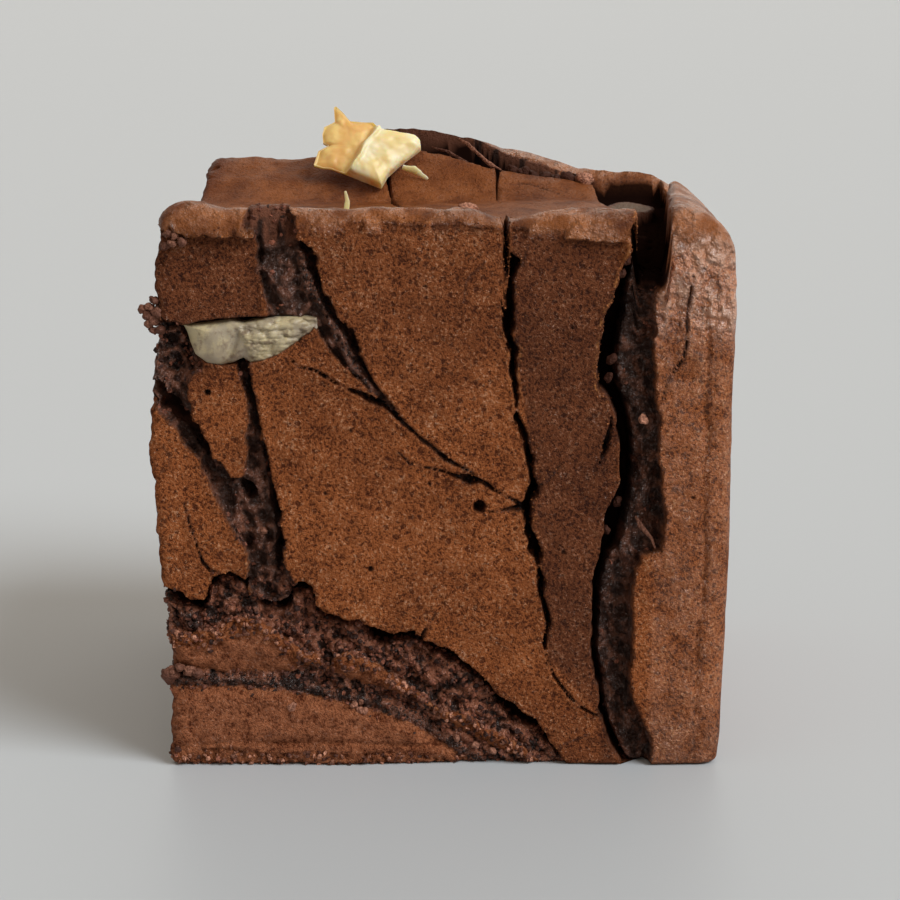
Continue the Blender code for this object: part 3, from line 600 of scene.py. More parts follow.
in_front_zone = to_front < 16
front_weight = 1 - ease(to_front, 0, 14)
free = line_y == 0
inner = ease(np.minimum(np.minimum(to_left, to_right), np.minimum(z, to_top)), 0.3, 1.2)
shift_u, shift_v = snap_to_edges(base[free, 0], base[free, 2])
base[free, 0] += shift_u * inner[free]
base[free, 2] += shift_v * inner[free]
depth = np.zeros(len(x))
masks = {name: np.zeros(len(x)) for name in
         ("moist", "black", "rim", "crumbly", "ledge", "shiny", "height", "darker_zones_and_shade", "satin", "beady", "flaky",
          "torn", "lump", "cut", "gloss_and_painted_highlight", "sheen")}
depth[in_front_zone], found = front_relief(base[in_front_zone, 0], base[in_front_zone, 2])
near_front = 1 - ease(to_front, 1.0, 4.0)
for name, values in found.items():
    masks[name][in_front_zone] = values
    masks[name] *= near_front

# On top, a trough parts the floor of the tray from the crust band, a hollow runs under the torn
# rim, and a lump of crust lies in the trough.
TROUGH = ((-31, 18.4, 22.0), (-20, 18.5, 22.4), (-8, 18.6, 23.2), (4, 18.4, 24.2), (14, 17.4, 25.2),
          (22, 16.8, 25.8), (26.2, 16.6, 25.2))
# (across, front edge, back edge, depth)
RIM_HOLLOW = ((-9.0, 24.9, 25.6, 0.5), (-7.5, 23.6, 26.2, 3.5), (-3, 22.6, 26.5, 4.6), (3, 21.9, 26.3, 4.6),
              (7, 21.4, 25.0, 3.8), (9, 21.6, 24.5, 2.6), (12, 21.8, 24.3, 2.6), (15.2, 21.8, 24.6, 2.6),
              (17.0, 21.6, 25.2, 3.2), (19, 21.8, 25.8, 3.4))
TOP_CRACKS = (
    (2.6, ((-7.6, 23.8, 0.25), (-7.0, 20, 0.25), (-6.5, 17.5, 0.22), (-5.9, 14.5, 0.28), (-5.3, 10, 0.22),
           (-4.9, 4, 0.15), (-4.6, -2, 0.06))),
    (2.2, ((6.0, 22.4, 0.5), (5.7, 20.6, 0.25), (5.6, 18.0, 0.12), (6.0, 13.5, 0.06))),
    (3.0, ((5.8, -31, 0.4), (5.7, -26, 0.3), (5.4, -22, 0.2), (5.3, -17, 0.08))),
    (0.5, ((6.6, 19.2, 0.08), (9.6, 19.6, 0.1), (13.2, 18.2, 0.08))),
)


def top_relief(u, v, height):
    """Depth below the plain top at places (across, back), where it has this height, and what shows."""
    flat = on_plane(u, v)
    wobble = 0.25 * rough(flat, 2.3, 23) + 0.16 * rough(flat, 0.9, 24) * (1 - 0.6 * ease(v, 18, 20))
    clods = crumbs_of(flat, 1.3, 25) + 0.5 * crumbs_of(flat, 0.7, 26)
    inside, cut = np.full(len(u), -9.0), np.zeros(len(u))
    for deep, route in TOP_CRACKS:
        distance, half, _, _ = route_distance(u, v, route)
        within = half + wobble * np.clip(half / 0.5, 0, 1) - distance
        cut = np.maximum(cut, deep * wall(within, 0.2))
        inside = np.maximum(inside, within)
    front, back, deep = [along(RIM_HOLLOW, u, column) for column in (1, 2, 3)]
    within = np.minimum(v - front + wobble, back - v + 0.2 * wobble)
    within = np.minimum(within, np.minimum(u + 9.0, 19.0 - u))
    lumps = 0.8 * clods * ease(back - v, 0.2, 1.0)
    cut = np.maximum(cut, (deep - lumps) * wall(within, 0.22))
    inside = np.maximum(inside, within + 0.25 * ease(v, 23.5, 24.2))
    left, right = [along(TROUGH, v, column) for column in (1, 2)]
    within = np.minimum(np.minimum(u - left, right - u) + wobble, 26.4 - v)
    floor = 50.9 + 0.5 * clods * ease(within, 0.4, 1.2) - 1.5 * ease(-v, 12, 20)
    lump = 1 - ((u - 20.4) / 2.8) ** 2 - ((v - 9.5) / 6.4) ** 2
    lump_top = 51.6 + 2.9 * np.sqrt(np.clip(lump, 0, None)) + 0.2 * rough(flat, 1.4, 27)
    floor = np.where(lump > 0, np.maximum(floor, lump_top), floor)
    deep = np.clip(height - floor, 0.2, None)
    cut = np.maximum(cut, deep * wall(within, 0.3))
    on_lump = ease(lump, 0.15, 0.5)
    inside = np.maximum(inside, np.where(on_lump > 0.4, -1, within))
    on_edge = 1 + 1.2 * ease(v, -21, -25) + 1.0 * ease(v, 21, 25)
    skin = 0.14 * rough(flat, 4, 28) + 0.08 * rough(flat * (1, 1.6, 1), 1.7, 29)
    skin = skin + 0.035 * rough(flat, 0.8, 30)
    lean = np.interp(u, (-9, 3, 7, 19), (0.12, 0.16, 0.36, 0.3))
    lean = lean * np.clip(27.6 - v, 0, 3.5) * ease(v, 20, 23.5)
    skin = skin * on_edge + lean
    # painted shade: the deep hollow under the rim and the deep cracks on top are painted black
    moist = ease(inside, -0.1, 0.15)
    # painted highlight: the crest of the torn rim is painted lighter tan for its sheen
    crest = 0.5 * ease(v, 24.5, 25.3) * ease(u, 4, 7) * (1 - moist)
    return (cut + skin, {
        "moist": moist, "black": moist * ease(cut, 0.2, 1.0), "gloss_and_painted_highlight": crest,
        "lump": on_lump * ease(within, 0, 0.5), "height": np.clip(clods, 0, 1)})


in_top_zone = to_top < 14
top_weight = 1 - ease(to_top, 0, 13)
sunk = np.zeros(len(x))
sunk[in_top_zone], found = top_relief(base[in_top_zone, 0], base[in_top_zone, 1], top[in_top_zone])
near_top = 1 - ease(to_top, 0.8, 2.4)
for name, values in found.items():
    spread = np.zeros(len(x))
    spread[in_top_zone] = values
    masks[name] = np.maximum(masks[name], spread * near_top)

# The left side was cut, so it shows torn crumb with seams where the layers run through. The other
# sides met the pan: they are finely pitted, and the right one is wrinkled near the top.
seams = (ridge(z - 7.9 - 0.6 * rough(base, 9, 31), 0.5)
         + ridge(z - 18.6 - 1.4 * rough(base, 8, 32), 0.7)
         + 0.7 * ridge(z - 38.5 - 1.6 * rough(base, 7, 33), 0.6))
torn = 0.4 * rough(base, 5, 34) + 0.25 * rough(base, 2.1, 35) + 0.22 * rough(base, 0.9, 36)
holes = ease(crumbs_of(base, 2.6, 37), 0.93, 1.0)
left_depth = 0.35 + torn - 0.25 * crumbs_of(base, 1.0, 38)
left_depth = left_depth + (0.8 * seams + 0.9 * holes) * ease(to_front, 0, 2)
left_weight = 1 - ease(to_left, 0, 4)
wrinkle = 1 - 2 * np.abs(rough(base * (1, 1, 0.6), 2.2, 39)) + 0.7 * rough(base * (1, 1, 0.8), 0.9, 40)
band_gloss = ease(z + 2.0 * rough(base, 3, 65), 41.5, 47.5) * (1 - ease(z, 52.5, 55)) * ease(x, 19.5, 21.5)
right_depth = 0.25 * rough(base, 10, 41) + 0.05 * rough(base, 1.8, 42) + 0.1 * wrinkle * ease(z, 38, 48)
right_weight = 1 - ease(to_right, 0, 6)
back_depth = 0.3 * rough(base, 12, 43) + 0.05 * rough(base, 2.5, 44)
back_weight = 1 - ease(to_back, 0, 4)
side_crease = ridge(x - 27.0 + 0.3 * rough(base, 3, 45), 0.28) * ease(z, 2, 8) * (1 - ease(z, 46, 52))
dry = 1 - masks["moist"]
depth += (0.42 * wrinkle * band_gloss + 0.3 * side_crease) * dry

skin_points = base.copy()
skin_points[:, 1] += front_weight * depth - back_weight * back_depth
skin_points[:, 2] -= top_weight * sunk
skin_points[:, 0] += left_weight * left_depth * ease(z, 0, 1.5) - right_weight * right_depth
skin_points[:, 2] = np.maximum(skin_points[:, 2], 0)

on_top = 1 - ease(to_top, 1.0, 2.5)
masks["satin"] = np.where(to_front < 4, masks["satin"] + (1 - near_front) * on_top, on_top) * dry
masks["satin"] *= 1 - 0.8 * masks["lump"]
masks["shiny"] = np.maximum(masks["shiny"], band_gloss * near_front * dry)
on_crest = ease(y, 23.2, 24.4) * ease(x, 3, 6)
bared = 0.15 + 1 - ease(to_front, 4, 7) + on_crest + ease(x, 22, 23)
masks["sheen"] = masks["satin"] * np.clip(bared, 0, 1)
# the wrinkled band and the right edge get real gloss and a painted highlight of lighter tan
for glossy in (band_gloss, 0.22 * ease(x, 21.3, 22.5)):
    masks["gloss_and_painted_highlight"] = np.maximum(masks["gloss_and_painted_highlight"], glossy * near_front * dry)
masks["cut"] = left_weight * ease(to_front, 0.2, 1.2)
# the crease on the right side gets the painted orange highlight too
masks["rim"] = np.maximum(masks["rim"], 0.5 * side_crease * near_front)

cake_mesh = bpy.data.meshes.new("brownie_cake")
cake_mesh.from_pydata((skin_points * MM).tolist(), [], quads.tolist())
cake_mesh.shade_smooth()
for name, values in masks.items():
    cake_mesh.attributes.new(name, "FLOAT", "POINT").data.foreach_set("value", values.astype(np.float32))
cake = put_in("brownie_cake", cake_mesh)


def make_plain(piece):
    """Turns what a piece's modifiers make of it into its own mesh."""
    bpy.context.view_layer.update()
    graph = bpy.context.evaluated_depsgraph_get()
    plain = bpy.data.meshes.new_from_object(piece.evaluated_get(graph))
    piece.modifiers.clear()
    piece.data = plain


MOST_TRIANGLES = 196000
thinning = cake.modifiers.new("Fewer faces", "DECIMATE")
thinning.ratio = min(1.0, MOST_TRIANGLES / (2 * len(quads)))
make_plain(cake)
cake.data.shade_smooth()


class Socket:
    """A node's output that takes part in Python sums."""

    def __init__(self, tree, link):
        self.tree = tree
        self.link = link

    def sum_with(self, operation, first, second):
        """What a Math node makes of two sockets or numbers."""
        return add_node(self.tree, "ShaderNodeMath", {"operation": operation}, _0=first, _1=second)

    def __add__(self, other):
        return self.sum_with("ADD", self, other)

    def __radd__(self, other):
        return self.sum_with("ADD", other, self)

    def __sub__(self, other):
        return self.sum_with("SUBTRACT", self, other)

    def __rsub__(self, other):
        return self.sum_with("SUBTRACT", other, self)

    def __mul__(self, other):
        return self.sum_with("MULTIPLY", self, other)

    def __rmul__(self, other):
        return self.sum_with("MULTIPLY", other, self)

    def step(self, start, end):
        """0 up to start, 1 from end on, smooth between."""
        settings = {"interpolation_type": "SMOOTHSTEP"}
        return add_node(self.tree, "ShaderNodeMapRange", settings, Value=self, From_Min=start, From_Max=end)


def add_node(tree, kind, settings=(), out=0, **values):
    """A node with its settings made first, then its sockets given values or links: _2 is the third
    socket, and Base_Color the one of that name. It gives back the output with this number."""
    made = tree.nodes.new(kind)
    for name, value in dict(settings).items():
        setattr(made, name, value)
    for name, value in values.items():
        key = int(name[1:]) if name[0] == "_" else name.replace("_", " ")
        socket = made.inputs[key]
        if isinstance(value, Socket):
            tree.links.new(value.link, socket)
        else:
            socket.default_value = value
    return Socket(tree, made.outputs[out])


def mix(share, first, second):
    """A colour between two, each a socket or three numbers."""
    tree = share.tree
    pair = [colour if isinstance(colour, Socket) else (*colour, 1) for colour in (first, second)]
    return add_node(tree, "ShaderNodeMix", {"data_type": "RGBA"}, 2, _0=share, _6=pair[0], _7=pair[1])


def noise(place, scale, detail=2.0, roughness=0.5, out=0):
    """Cloudy grain over a place, its features one part in scale of a metre wide."""
    return add_node(place.tree, "ShaderNodeTexNoise", (), out,
                    Vector=place, Scale=scale, Detail=detail, Roughness=roughness)


def on_surface(tree, name):
    """What a mask or tone kept on the mesh says."""
    return add_node(tree, "ShaderNodeAttribute", {"attribute_name": name}, 2)


def own_place(tree):
    """Places in the piece's own space."""
    return add_node(tree, "ShaderNodeTexCoord", (), 3)


def new_finish(name):
    """A material with its tree and its main shader."""
    finish = bpy.data.materials.new(name)
    finish.use_nodes = True
    return finish, finish.node_tree, finish.node_tree.nodes["Principled BSDF"]


def feed(shader, name, socket):
    """Leads a socket into an input of a shader."""
    socket.tree.links.new(socket.link, shader.inputs[name])


CRUST_BROWN = (0.51, 0.147, 0.041)
CRUST_DEEP = (0.095, 0.018, 0.004)
CRUST_LIGHT = (0.66, 0.30, 0.135)
DARKER_ZONE_BROWN = (0.155, 0.044, 0.018)
DARKER_ZONE_DEEP = (0.040, 0.009, 0.004)
LIT_RIM_ORANGE = (0.74, 0.29, 0.09)
SATIN_SHEEN_BROWN = (0.38, 0.120, 0.028)
SATIN_DEEP = (0.11, 0.028, 0.007)
PAINTED_HIGHLIGHT_TAN = (0.60, 0.34, 0.23)
LEDGE_BROWN = (0.43, 0.150, 0.068)
LUMP_TAN_AND_SHEEN = (0.25, 0.155, 0.10)
FUDGE_BROWN = (0.036, 0.015, 0.010)
FUDGE_LIGHT = (0.085, 0.038, 0.026)
LIT_CRUMB_BROWN = (0.40, 0.145, 0.080)
PAINTED_SHADE_BLACK = (0.003, 0.0015, 0.0015)
cake_finish, tree, shader = new_finish("baked_chocolate")
place = own_place(tree)
seen = {name: on_surface(tree, name) for name in masks if name not in ("beady", "flaky")}
patches = noise(place, 160.0, 3.0, 0.55)
blotches = noise(place, 1100.0)
grain = noise(place, 3300.0, 3.0, 0.75)
fine_grain = noise(place, 4600.0, 1.0)
pits = noise(place, 1900.0, 2.0, 0.7)
zones = noise(place, 420.0)
strays = noise(place, 2600.0, 1.0, out=1)
strays = add_node(tree, "ShaderNodeVectorMath", {"operation": "SCALE"}, _0=strays, Scale=0.0007)
strayed = add_node(tree, "ShaderNodeVectorMath", {"operation": "ADD"}, _0=place, _1=strays)
pore_gap = add_node(tree, "ShaderNodeTexVoronoi", {"feature": "F1"}, 0, Vector=strayed, Scale=1250.0)
pore_pick = add_node(tree, "ShaderNodeTexVoronoi", {"feature": "F1"}, 1, Vector=strayed, Scale=1250.0)
pore_size = add_node(tree, "ShaderNodeSeparateColor", Color=pore_pick)
pores = 1 - (pore_gap - pore_size * 0.31).step(0.0, 0.12)
pit_mask = add_node(tree, "ShaderNodeMath", {"operation": "MAXIMUM"}, _0=pits.step(0.60, 0.68), _1=pores)
speckle = grain + zones * 0.25 - 0.125
# darker browns for those zones, which also give the painted shade in the hollow beside the nut
light_crust = mix(seen["darker_zones_and_shade"] * 0.9, CRUST_BROWN, DARKER_ZONE_BROWN)
deep_crust = mix(seen["darker_zones_and_shade"] * 0.9, CRUST_DEEP, DARKER_ZONE_DEEP)
crust = mix(speckle.step(0.30, 0.54), deep_crust, light_crust)
crust = mix(patches.step(0.6, 0.35) * 0.25, crust, deep_crust)
# painted shade: the pores and pits are painted dark brown
crust = mix(pit_mask * 0.75, crust, deep_crust)
crust = mix(speckle.step(0.54, 0.68) * (1 - seen["darker_zones_and_shade"] * 0.75) * 0.7, crust, CRUST_LIGHT)
# painted sheen: the satin skin on top has light and dark patches, and is painted darker where no sheen
# falls, so the lip, crest and band look lit
satin_and_painted_sheen = mix(patches.step(0.35, 0.6) * 0.5 + zones.step(0.38, 0.6) * 0.5, SATIN_DEEP, SATIN_SHEEN_BROWN)
satin_and_painted_sheen = mix((1 - seen["sheen"].step(0.2, 0.6)) * 0.55, satin_and_painted_sheen, SATIN_DEEP)
crust = mix(seen["satin"] * 0.85, crust, satin_and_painted_sheen)
# painted highlight: patches of lighter tan on the band and the crest
painted_highlight_share = blotches.step(0.44, 0.60) * 0.4 + zones.step(0.35, 0.6) * 0.25 + 0.1
crust = mix(seen["gloss_and_painted_highlight"] * painted_highlight_share, crust, PAINTED_HIGHLIGHT_TAN)
ledge_tone = mix(blotches.step(0.35, 0.6) * 0.5 + speckle.step(0.38, 0.54) * 0.5, CRUST_DEEP, LEDGE_BROWN)
crust = mix(seen["ledge"] * 0.85, crust, ledge_tone)
# the lump's own tan, painted greyer for the sheen on it
crust = mix(seen["lump"], crust, LUMP_TAN_AND_SHEEN)
crust = mix(seen["cut"] * 0.6, crust, CRUST_DEEP)
# painted highlight: orange on the edges that catch the window's light
crust = mix(seen["rim"].step(0.4, 0.95) * blotches.step(0.4, 0.6) * 0.75, crust, LIT_RIM_ORANGE)
# painted light and shade: raised crumb tops and the rope are painted lighter brown, the hollows between
# stay dark
lit_tops = seen["height"].step(0.45, 0.95)
fudge = mix(seen["torn"], FUDGE_BROWN, FUDGE_LIGHT)
fudge = mix(lit_tops * (0.35 + seen["crumbly"] * 0.65), fudge, LIT_CRUMB_BROWN)
# painted shade: near black where the cracks and hollows are deepest
fudge = mix(seen["black"] * 0.95, fudge, PAINTED_SHADE_BLACK)
colour = mix(seen["moist"], crust, fudge)
feed(shader, "Base Color", colour)
feed(shader, "Roughness", 0.62 - seen["satin"] * 0.17 - seen["moist"] * 0.1)
shader.inputs["Specular IOR Level"].default_value = 0.13
bump_share = 1 - seen["satin"] * 0.75 - seen["ledge"] * 0.3
bump = add_node(tree, "ShaderNodeBump", Strength=1.0, Distance=0.0016,
                Height=(speckle * 0.75 - pit_mask * 0.16) * bump_share)
feed(shader, "Normal", bump)
# butter and sugar dried to a glaze on the wrinkled band, the moist folds and the beads
sparkle = fine_grain.step(0.46, 0.58)
glints = add_node(tree, "ShaderNodeBump", Strength=1.0, Distance=0.0014,
                  Height=blotches + zones * 0.8 + grain * 0.2)
glaze = add_node(tree, "ShaderNodeBsdfPrincipled", Base_Color=colour, Roughness=0.24,
                 Specular_IOR_Level=1.0, Normal=glints)
lit_specks = speckle.step(0.56, 0.66) * (1 - seen["moist"]) * (1 - seen["satin"]) * 0.4
gloss = seen["shiny"] * (sparkle * 0.75 + 0.15) + seen["sheen"] * (0.1 + zones.step(0.38, 0.6) * 0.7)
gloss = gloss + lit_specks + seen["gloss_and_painted_highlight"] * (zones.step(0.35, 0.55) * 0.6 + 0.35)
glazed = add_node(tree, "ShaderNodeMixShader", _0=gloss, _1=Socket(tree, shader.outputs[0]), _2=glaze)
shade = add_node(tree, "ShaderNodeBsdfPrincipled", Base_Color=colour, Roughness=1.0,
                 Specular_IOR_Level=0.0)
whole = add_node(tree, "ShaderNodeMixShader", _0=seen["black"], _1=glazed, _2=shade)
tree.links.new(whole.link, tree.nodes["Material Output"].inputs["Surface"])
cake.data.materials.clear()
cake.data.materials.append(cake_finish)
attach(cake, "root")
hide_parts("brownie")

# Torn cake sheds crumbs. They lie thick in the scar, the cracks and the layers at the lower left,
# and finer ones cling to the broken edges of the plates. All are crumbs of the same baked batter.
def crumb_tree(name, mask_name, finish):
    """A node tree that strews crumbs where a mask of the cake's surface says so."""
    group = bpy.data.node_groups.new(name, "GeometryNodeTree")
    face = group.interface
    face.new_socket("Surface", in_out="INPUT", socket_type="NodeSocketGeometry")
    for label, kind in (("Density", "NodeSocketFloat"), ("Smallest", "NodeSocketVector"),
                        ("Largest", "NodeSocketVector"), ("Seed", "NodeSocketInt")):
        face.new_socket(label, in_out="INPUT", socket_type=kind)
    face.new_socket("Crumbs", in_out="OUTPUT", socket_type="NodeSocketGeometry")
    entry = group.nodes.new("NodeGroupInput")
    given = {socket.name: Socket(group, socket) for socket in entry.outputs if socket.name}
    mask = add_node(group, "GeometryNodeInputNamedAttribute", {"data_type": "FLOAT"}, Name=mask_name)
    points = add_node(group, "GeometryNodeDistributePointsOnFaces", Mesh=given["Surface"],
                      Density=given["Density"] * mask, Seed=given["Seed"])
    ball = add_node(group, "GeometryNodeMeshIcoSphere", Radius=1.0, Subdivisions=1)
    spin = add_node(group, "FunctionNodeRandomValue", {"data_type": "FLOAT_VECTOR"},
                    _0=(0, 0, 0), _1=(6.28, 6.28, 6.28), Seed=given["Seed"])
    size = add_node(group, "FunctionNodeRandomValue", {"data_type": "FLOAT_VECTOR"},
                    _0=given["Smallest"], _1=given["Largest"], Seed=given["Seed"] + 1)
    strewn = add_node(group, "GeometryNodeInstanceOnPoints", Points=points, Instance=ball,
                      Rotation=spin, Scale=size)
    tone = add_node(group, "FunctionNodeRandomValue", {"data_type": "FLOAT"}, 1, Seed=given["Seed"] + 2)
    whole_crumb = {"data_type": "FLOAT", "domain": "INSTANCE"}
    toned = add_node(group, "GeometryNodeStoreNamedAttribute", whole_crumb,
                     Geometry=strewn, Name="tone", Value=tone)
    real = add_node(group, "GeometryNodeRealizeInstances", Geometry=toned)
    spot = add_node(group, "GeometryNodeInputPosition")
    dents = noise(spot, 5200.0, out=1)
    middle = add_node(group, "ShaderNodeVectorMath", {"operation": "SUBTRACT"},
                      _0=dents, _1=(0.5, 0.5, 0.5))
    push = add_node(group, "ShaderNodeVectorMath", {"operation": "SCALE"}, _0=middle, Scale=0.0004)
    shaped = add_node(group, "GeometryNodeSetPosition", Geometry=real, Offset=push)
    painted = add_node(group, "GeometryNodeSetMaterial", Geometry=shaped, Material=finish)
    way_out = group.nodes.new("NodeGroupOutput")
    group.links.new(painted.link, way_out.inputs["Crumbs"])
    return group


def strew(name, mask_name, density, smallest, largest, seed, finish):
    """Crumbs as a plain mesh: density per square metre, sizes in mm."""
    made = put_in(name, cake.data.copy())
    strewing = made.modifiers.new("Strew", "NODES")
    strewing.node_group = crumb_tree(name, mask_name, finish)
    settings = {"Density": density, "Smallest": [smallest * MM] * 3, "Largest": [largest * MM] * 3,
                "Seed": seed}
    for item in strewing.node_group.interface.items_tree:
        if item.in_out == "INPUT" and item.name in settings:
            strewing[item.identifier] = settings[item.name]
    make_plain(made)
    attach(made, "root")


def crumb_finish(name, dark, light, gloss):
    """Crumbs from dark to light, each of one tone, and this glossy."""
    made, tree, shader = new_finish(name)
    tone = on_surface(tree, "tone")
    mottle = noise(own_place(tree), 4200.0)
    own_tone = mix(tone.step(0.1, 1.0), dark, light)
    feed(shader, "Base Color", mix(mottle.step(0.4, 0.6) * 0.6, own_tone, dark))
    feed(shader, "Roughness", 0.65 - (1 - tone) * gloss)
    shader.inputs["Specular IOR Level"].default_value = 0.1 + gloss
    dents = add_node(tree, "ShaderNodeBump", Strength=1.0, Distance=0.0003, Height=mottle)
    feed(shader, "Normal", dents)
    return made


moist_crumb = crumb_finish("moist_crumb", (0.034, 0.011, 0.007), (0.32, 0.105, 0.058), 0.2)
ledge_crumb = crumb_finish("ledge_crumb", (0.085, 0.026, 0.014), (0.60, 0.27, 0.17), 0.15)
bead = crumb_finish("fudge_bead", (0.022, 0.010, 0.007), (0.12, 0.048, 0.030), 0.3)
crust_crumb = crumb_finish("crust_crumb", (0.11, 0.030, 0.012), (0.52, 0.19, 0.07), 0.0)
strew("moist_crumbs", "crumbly", 3.0e6, 0.06, 0.40, 11, moist_crumb)
strew("ledge_crumbs", "flaky", 2.6e6, 0.08, 0.36, 12, ledge_crumb)
strew("fudge_beads", "beady", 9.0e6, 0.08, 0.18, 13, bead)
strew("edge_crumbs", "rim", 7.0e6, 0.05, 0.13, 14, crust_crumb)

# Single crumbs and lumps of crust that broke off while the cake was cut and handled. They stayed
# where they fell: in the fissure, on the layers, on the top and at the crumbly left edge.
# (middle, half sizes, turns about the three axes, tone)
LOOSE_BITS = (
    # in the fissure
    ((19.4, -27.0, 35.7), (0.5, 0.45, 0.48), (0.3, 0.2, 0.1), 1.2),
    ((15.9, -26.6, 24.4), (0.45, 0.4, 0.4), (0.1, 0.9, 0.4), 0.2),
    ((17.1, -25.6, 27.0), (0.5, 0.4, 0.45), (0.7, 0.2, 0.9), 0.15),
    ((17.4, -26.8, 53.2), (0.5, 0.4, 0.4), (0.2, 0.1, 0.6), 0.25),
    ((17.6, -26.7, 51.5), (0.35, 0.4, 0.5), (0.3, 0.8, 0.2), 0.25),
    ((17.2, -26.8, 50.3), (0.3, 0.3, 0.45), (0.1, 0.6, 0.9), 0.2),
    ((16.2, -26.8, 41.6), (0.4, 0.35, 0.55), (0.4, 0.3, 0.2), 0.0),
    ((16.0, -26.9, 39.8), (0.35, 0.35, 0.5), (0.6, 0.2, 0.5), 0.0),
    # in the channel, on the layers and on the lowest layer
    ((-23.0, -27.1, 20.8), (0.4, 0.35, 0.4), (0.2, 0.5, 0.3), 0.62),
    ((-18.5, -27.0, 24.3), (0.4, 0.35, 0.35), (0.7, 0.1, 0.8), 0.56),
    ((-15.8, -27.75, 6.0), (0.5, 0.25, 0.5), (0.2, 0.8, 0.1), 0.62),
    ((-9.5, -27.5, 6.3), (0.35, 0.3, 0.3), (0.4, 0.2, 0.9), 0.62),
    ((-9.0, -27.5, 5.7), (0.4, 0.3, 0.3), (0.8, 0.6, 0.2), 0.56),
    ((-8.4, -27.5, 5.5), (0.35, 0.3, 0.35), (0.1, 0.3, 0.5), 0.62),
    ((-8.8, -27.4, 6.5), (0.3, 0.3, 0.3), (0.5, 0.7, 0.6), 0.5),
    ((-25.4, -27.6, 9.7), (0.55, 0.45, 0.4), (0.1, 0.5, 0.2), 0.3),
    ((-26.2, -27.6, 9.9), (0.6, 0.45, 0.5), (0.7, 0.1, 0.6), 0.45),
    ((-27.1, -27.6, 10.2), (0.55, 0.45, 0.5), (0.3, 0.8, 0.3), 0.35),
    ((-27.9, -27.4, 9.8), (0.6, 0.5, 0.5), (0.5, 0.3, 0.9), 0.4),
    ((-28.1, -27.3, 9.2), (0.8, 0.6, 0.7), (0.3, 0.2, 0.4), 0.31),
    ((2.9, -27.2, 1.9), (0.45, 0.3, 0.35), (0.3, 0.1, 0.7), 0.56),
    ((4.6, -27.3, 1.3), (0.4, 0.3, 0.3), (0.9, 0.4, 0.2), 0.62),
    ((0.9, -27.3, 2.7), (0.35, 0.3, 0.3), (0.4, 0.8, 0.1), 0.56),
    # standing off the left edge
    ((-28.5, -26.9, 46.4), (0.6, 0.6, 0.55), (0.3, 0.5, 0.2), 0.37),
    ((-28.9, -26.9, 47.6), (0.5, 0.45, 0.4), (0.8, 0.2, 0.6), 0.31),
    ((-29.4, -26.9, 46.9), (0.45, 0.4, 0.4), (0.2, 0.9, 0.1), 0.46),
    ((-30.1, -26.9, 46.7), (0.45, 0.4, 0.4), (0.5, 0.4, 0.8), 0.37),
    ((-29.5, -26.9, 46.1), (0.5, 0.4, 0.45), (0.1, 0.7, 0.4), 0.31),
    ((-28.9, -26.9, 45.5), (0.6, 0.5, 0.5), (0.6, 0.1, 0.3), 0.4),
    ((-29.6, -26.9, 45.2), (0.4, 0.35, 0.35), (0.3, 0.6, 0.7), 0.5),
    ((-29.1, -26.9, 44.6), (0.45, 0.4, 0.35), (0.9, 0.3, 0.5), 0.31),
    ((-28.4, -26.9, 44.7), (0.5, 0.4, 0.4), (0.2, 0.2, 0.9), 0.28),
    # the crumbly corner at the lip's left end
    ((-27.4, -27.3, 54.3), (0.45, 0.4, 0.4), (0.3, 0.2, 0.5), 0.43),
    ((-26.7, -27.5, 54.0), (0.4, 0.35, 0.4), (0.8, 0.6, 0.1), 0.56),
    ((-26.0, -27.6, 53.5), (0.45, 0.35, 0.35), (0.2, 0.4, 0.8), 0.37),
    ((-27.0, -27.6, 53.3), (0.4, 0.4, 0.35), (0.6, 0.1, 0.2), 0.5),
    ((-27.7, -27.3, 53.0), (0.4, 0.35, 0.4), (0.1, 0.8, 0.6), 0.31),
    ((-25.5, -27.7, 54.2), (0.35, 0.3, 0.3), (0.5, 0.3, 0.4), 0.46),
    # on top, and under the rim
    ((1.9, -22.0, 56.3), (0.9, 0.5, 0.4), (0.2, 0.1, 0.4), 1.2),
    ((15.8, 22.0, 54.4), (0.9, 0.6, 0.9), (0.3, 0.4, 0.2), 0.9),
    ((0.0, 22.3, 55.6), (0.8, 0.5, 0.4), (0.2, 0.3, 0.1), 0.34),
    ((1.5, 22.2, 55.5), (0.6, 0.5, 0.4), (0.5, 0.2, 0.7), 0.43),
    ((2.9, 22.1, 55.3), (0.7, 0.5, 0.35), (0.1, 0.6, 0.3), 0.37),
    ((7.4, 22.4, 55.6), (0.8, 0.6, 0.6), (0.3, 0.5, 0.2), 0.12),
    ((8.7, 22.6, 55.3), (0.7, 0.6, 0.7), (0.6, 0.1, 0.4), 0.17),
    ((9.9, 22.5, 54.9), (0.8, 0.6, 0.6), (0.2, 0.7, 0.6), 0.10),
    ((11.2, 22.6, 54.8), (0.7, 0.6, 0.7), (0.8, 0.3, 0.1), 0.20),
    ((12.5, 22.4, 54.6), (0.7, 0.6, 0.6), (0.1, 0.4, 0.8), 0.15),
    ((13.8, 22.4, 54.4), (0.8, 0.6, 0.8), (0.5, 0.6, 0.3), 0.23),
)


def keep_bits(name, form, finish):
    """Makes a built form a piece of one finish."""
    mesh = bpy.data.meshes.new(name)
    form.to_mesh(mesh)
    form.free()
    mesh.shade_smooth()
    mesh.materials.append(finish)
    made = put_in(name, mesh)
    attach(made, "root")


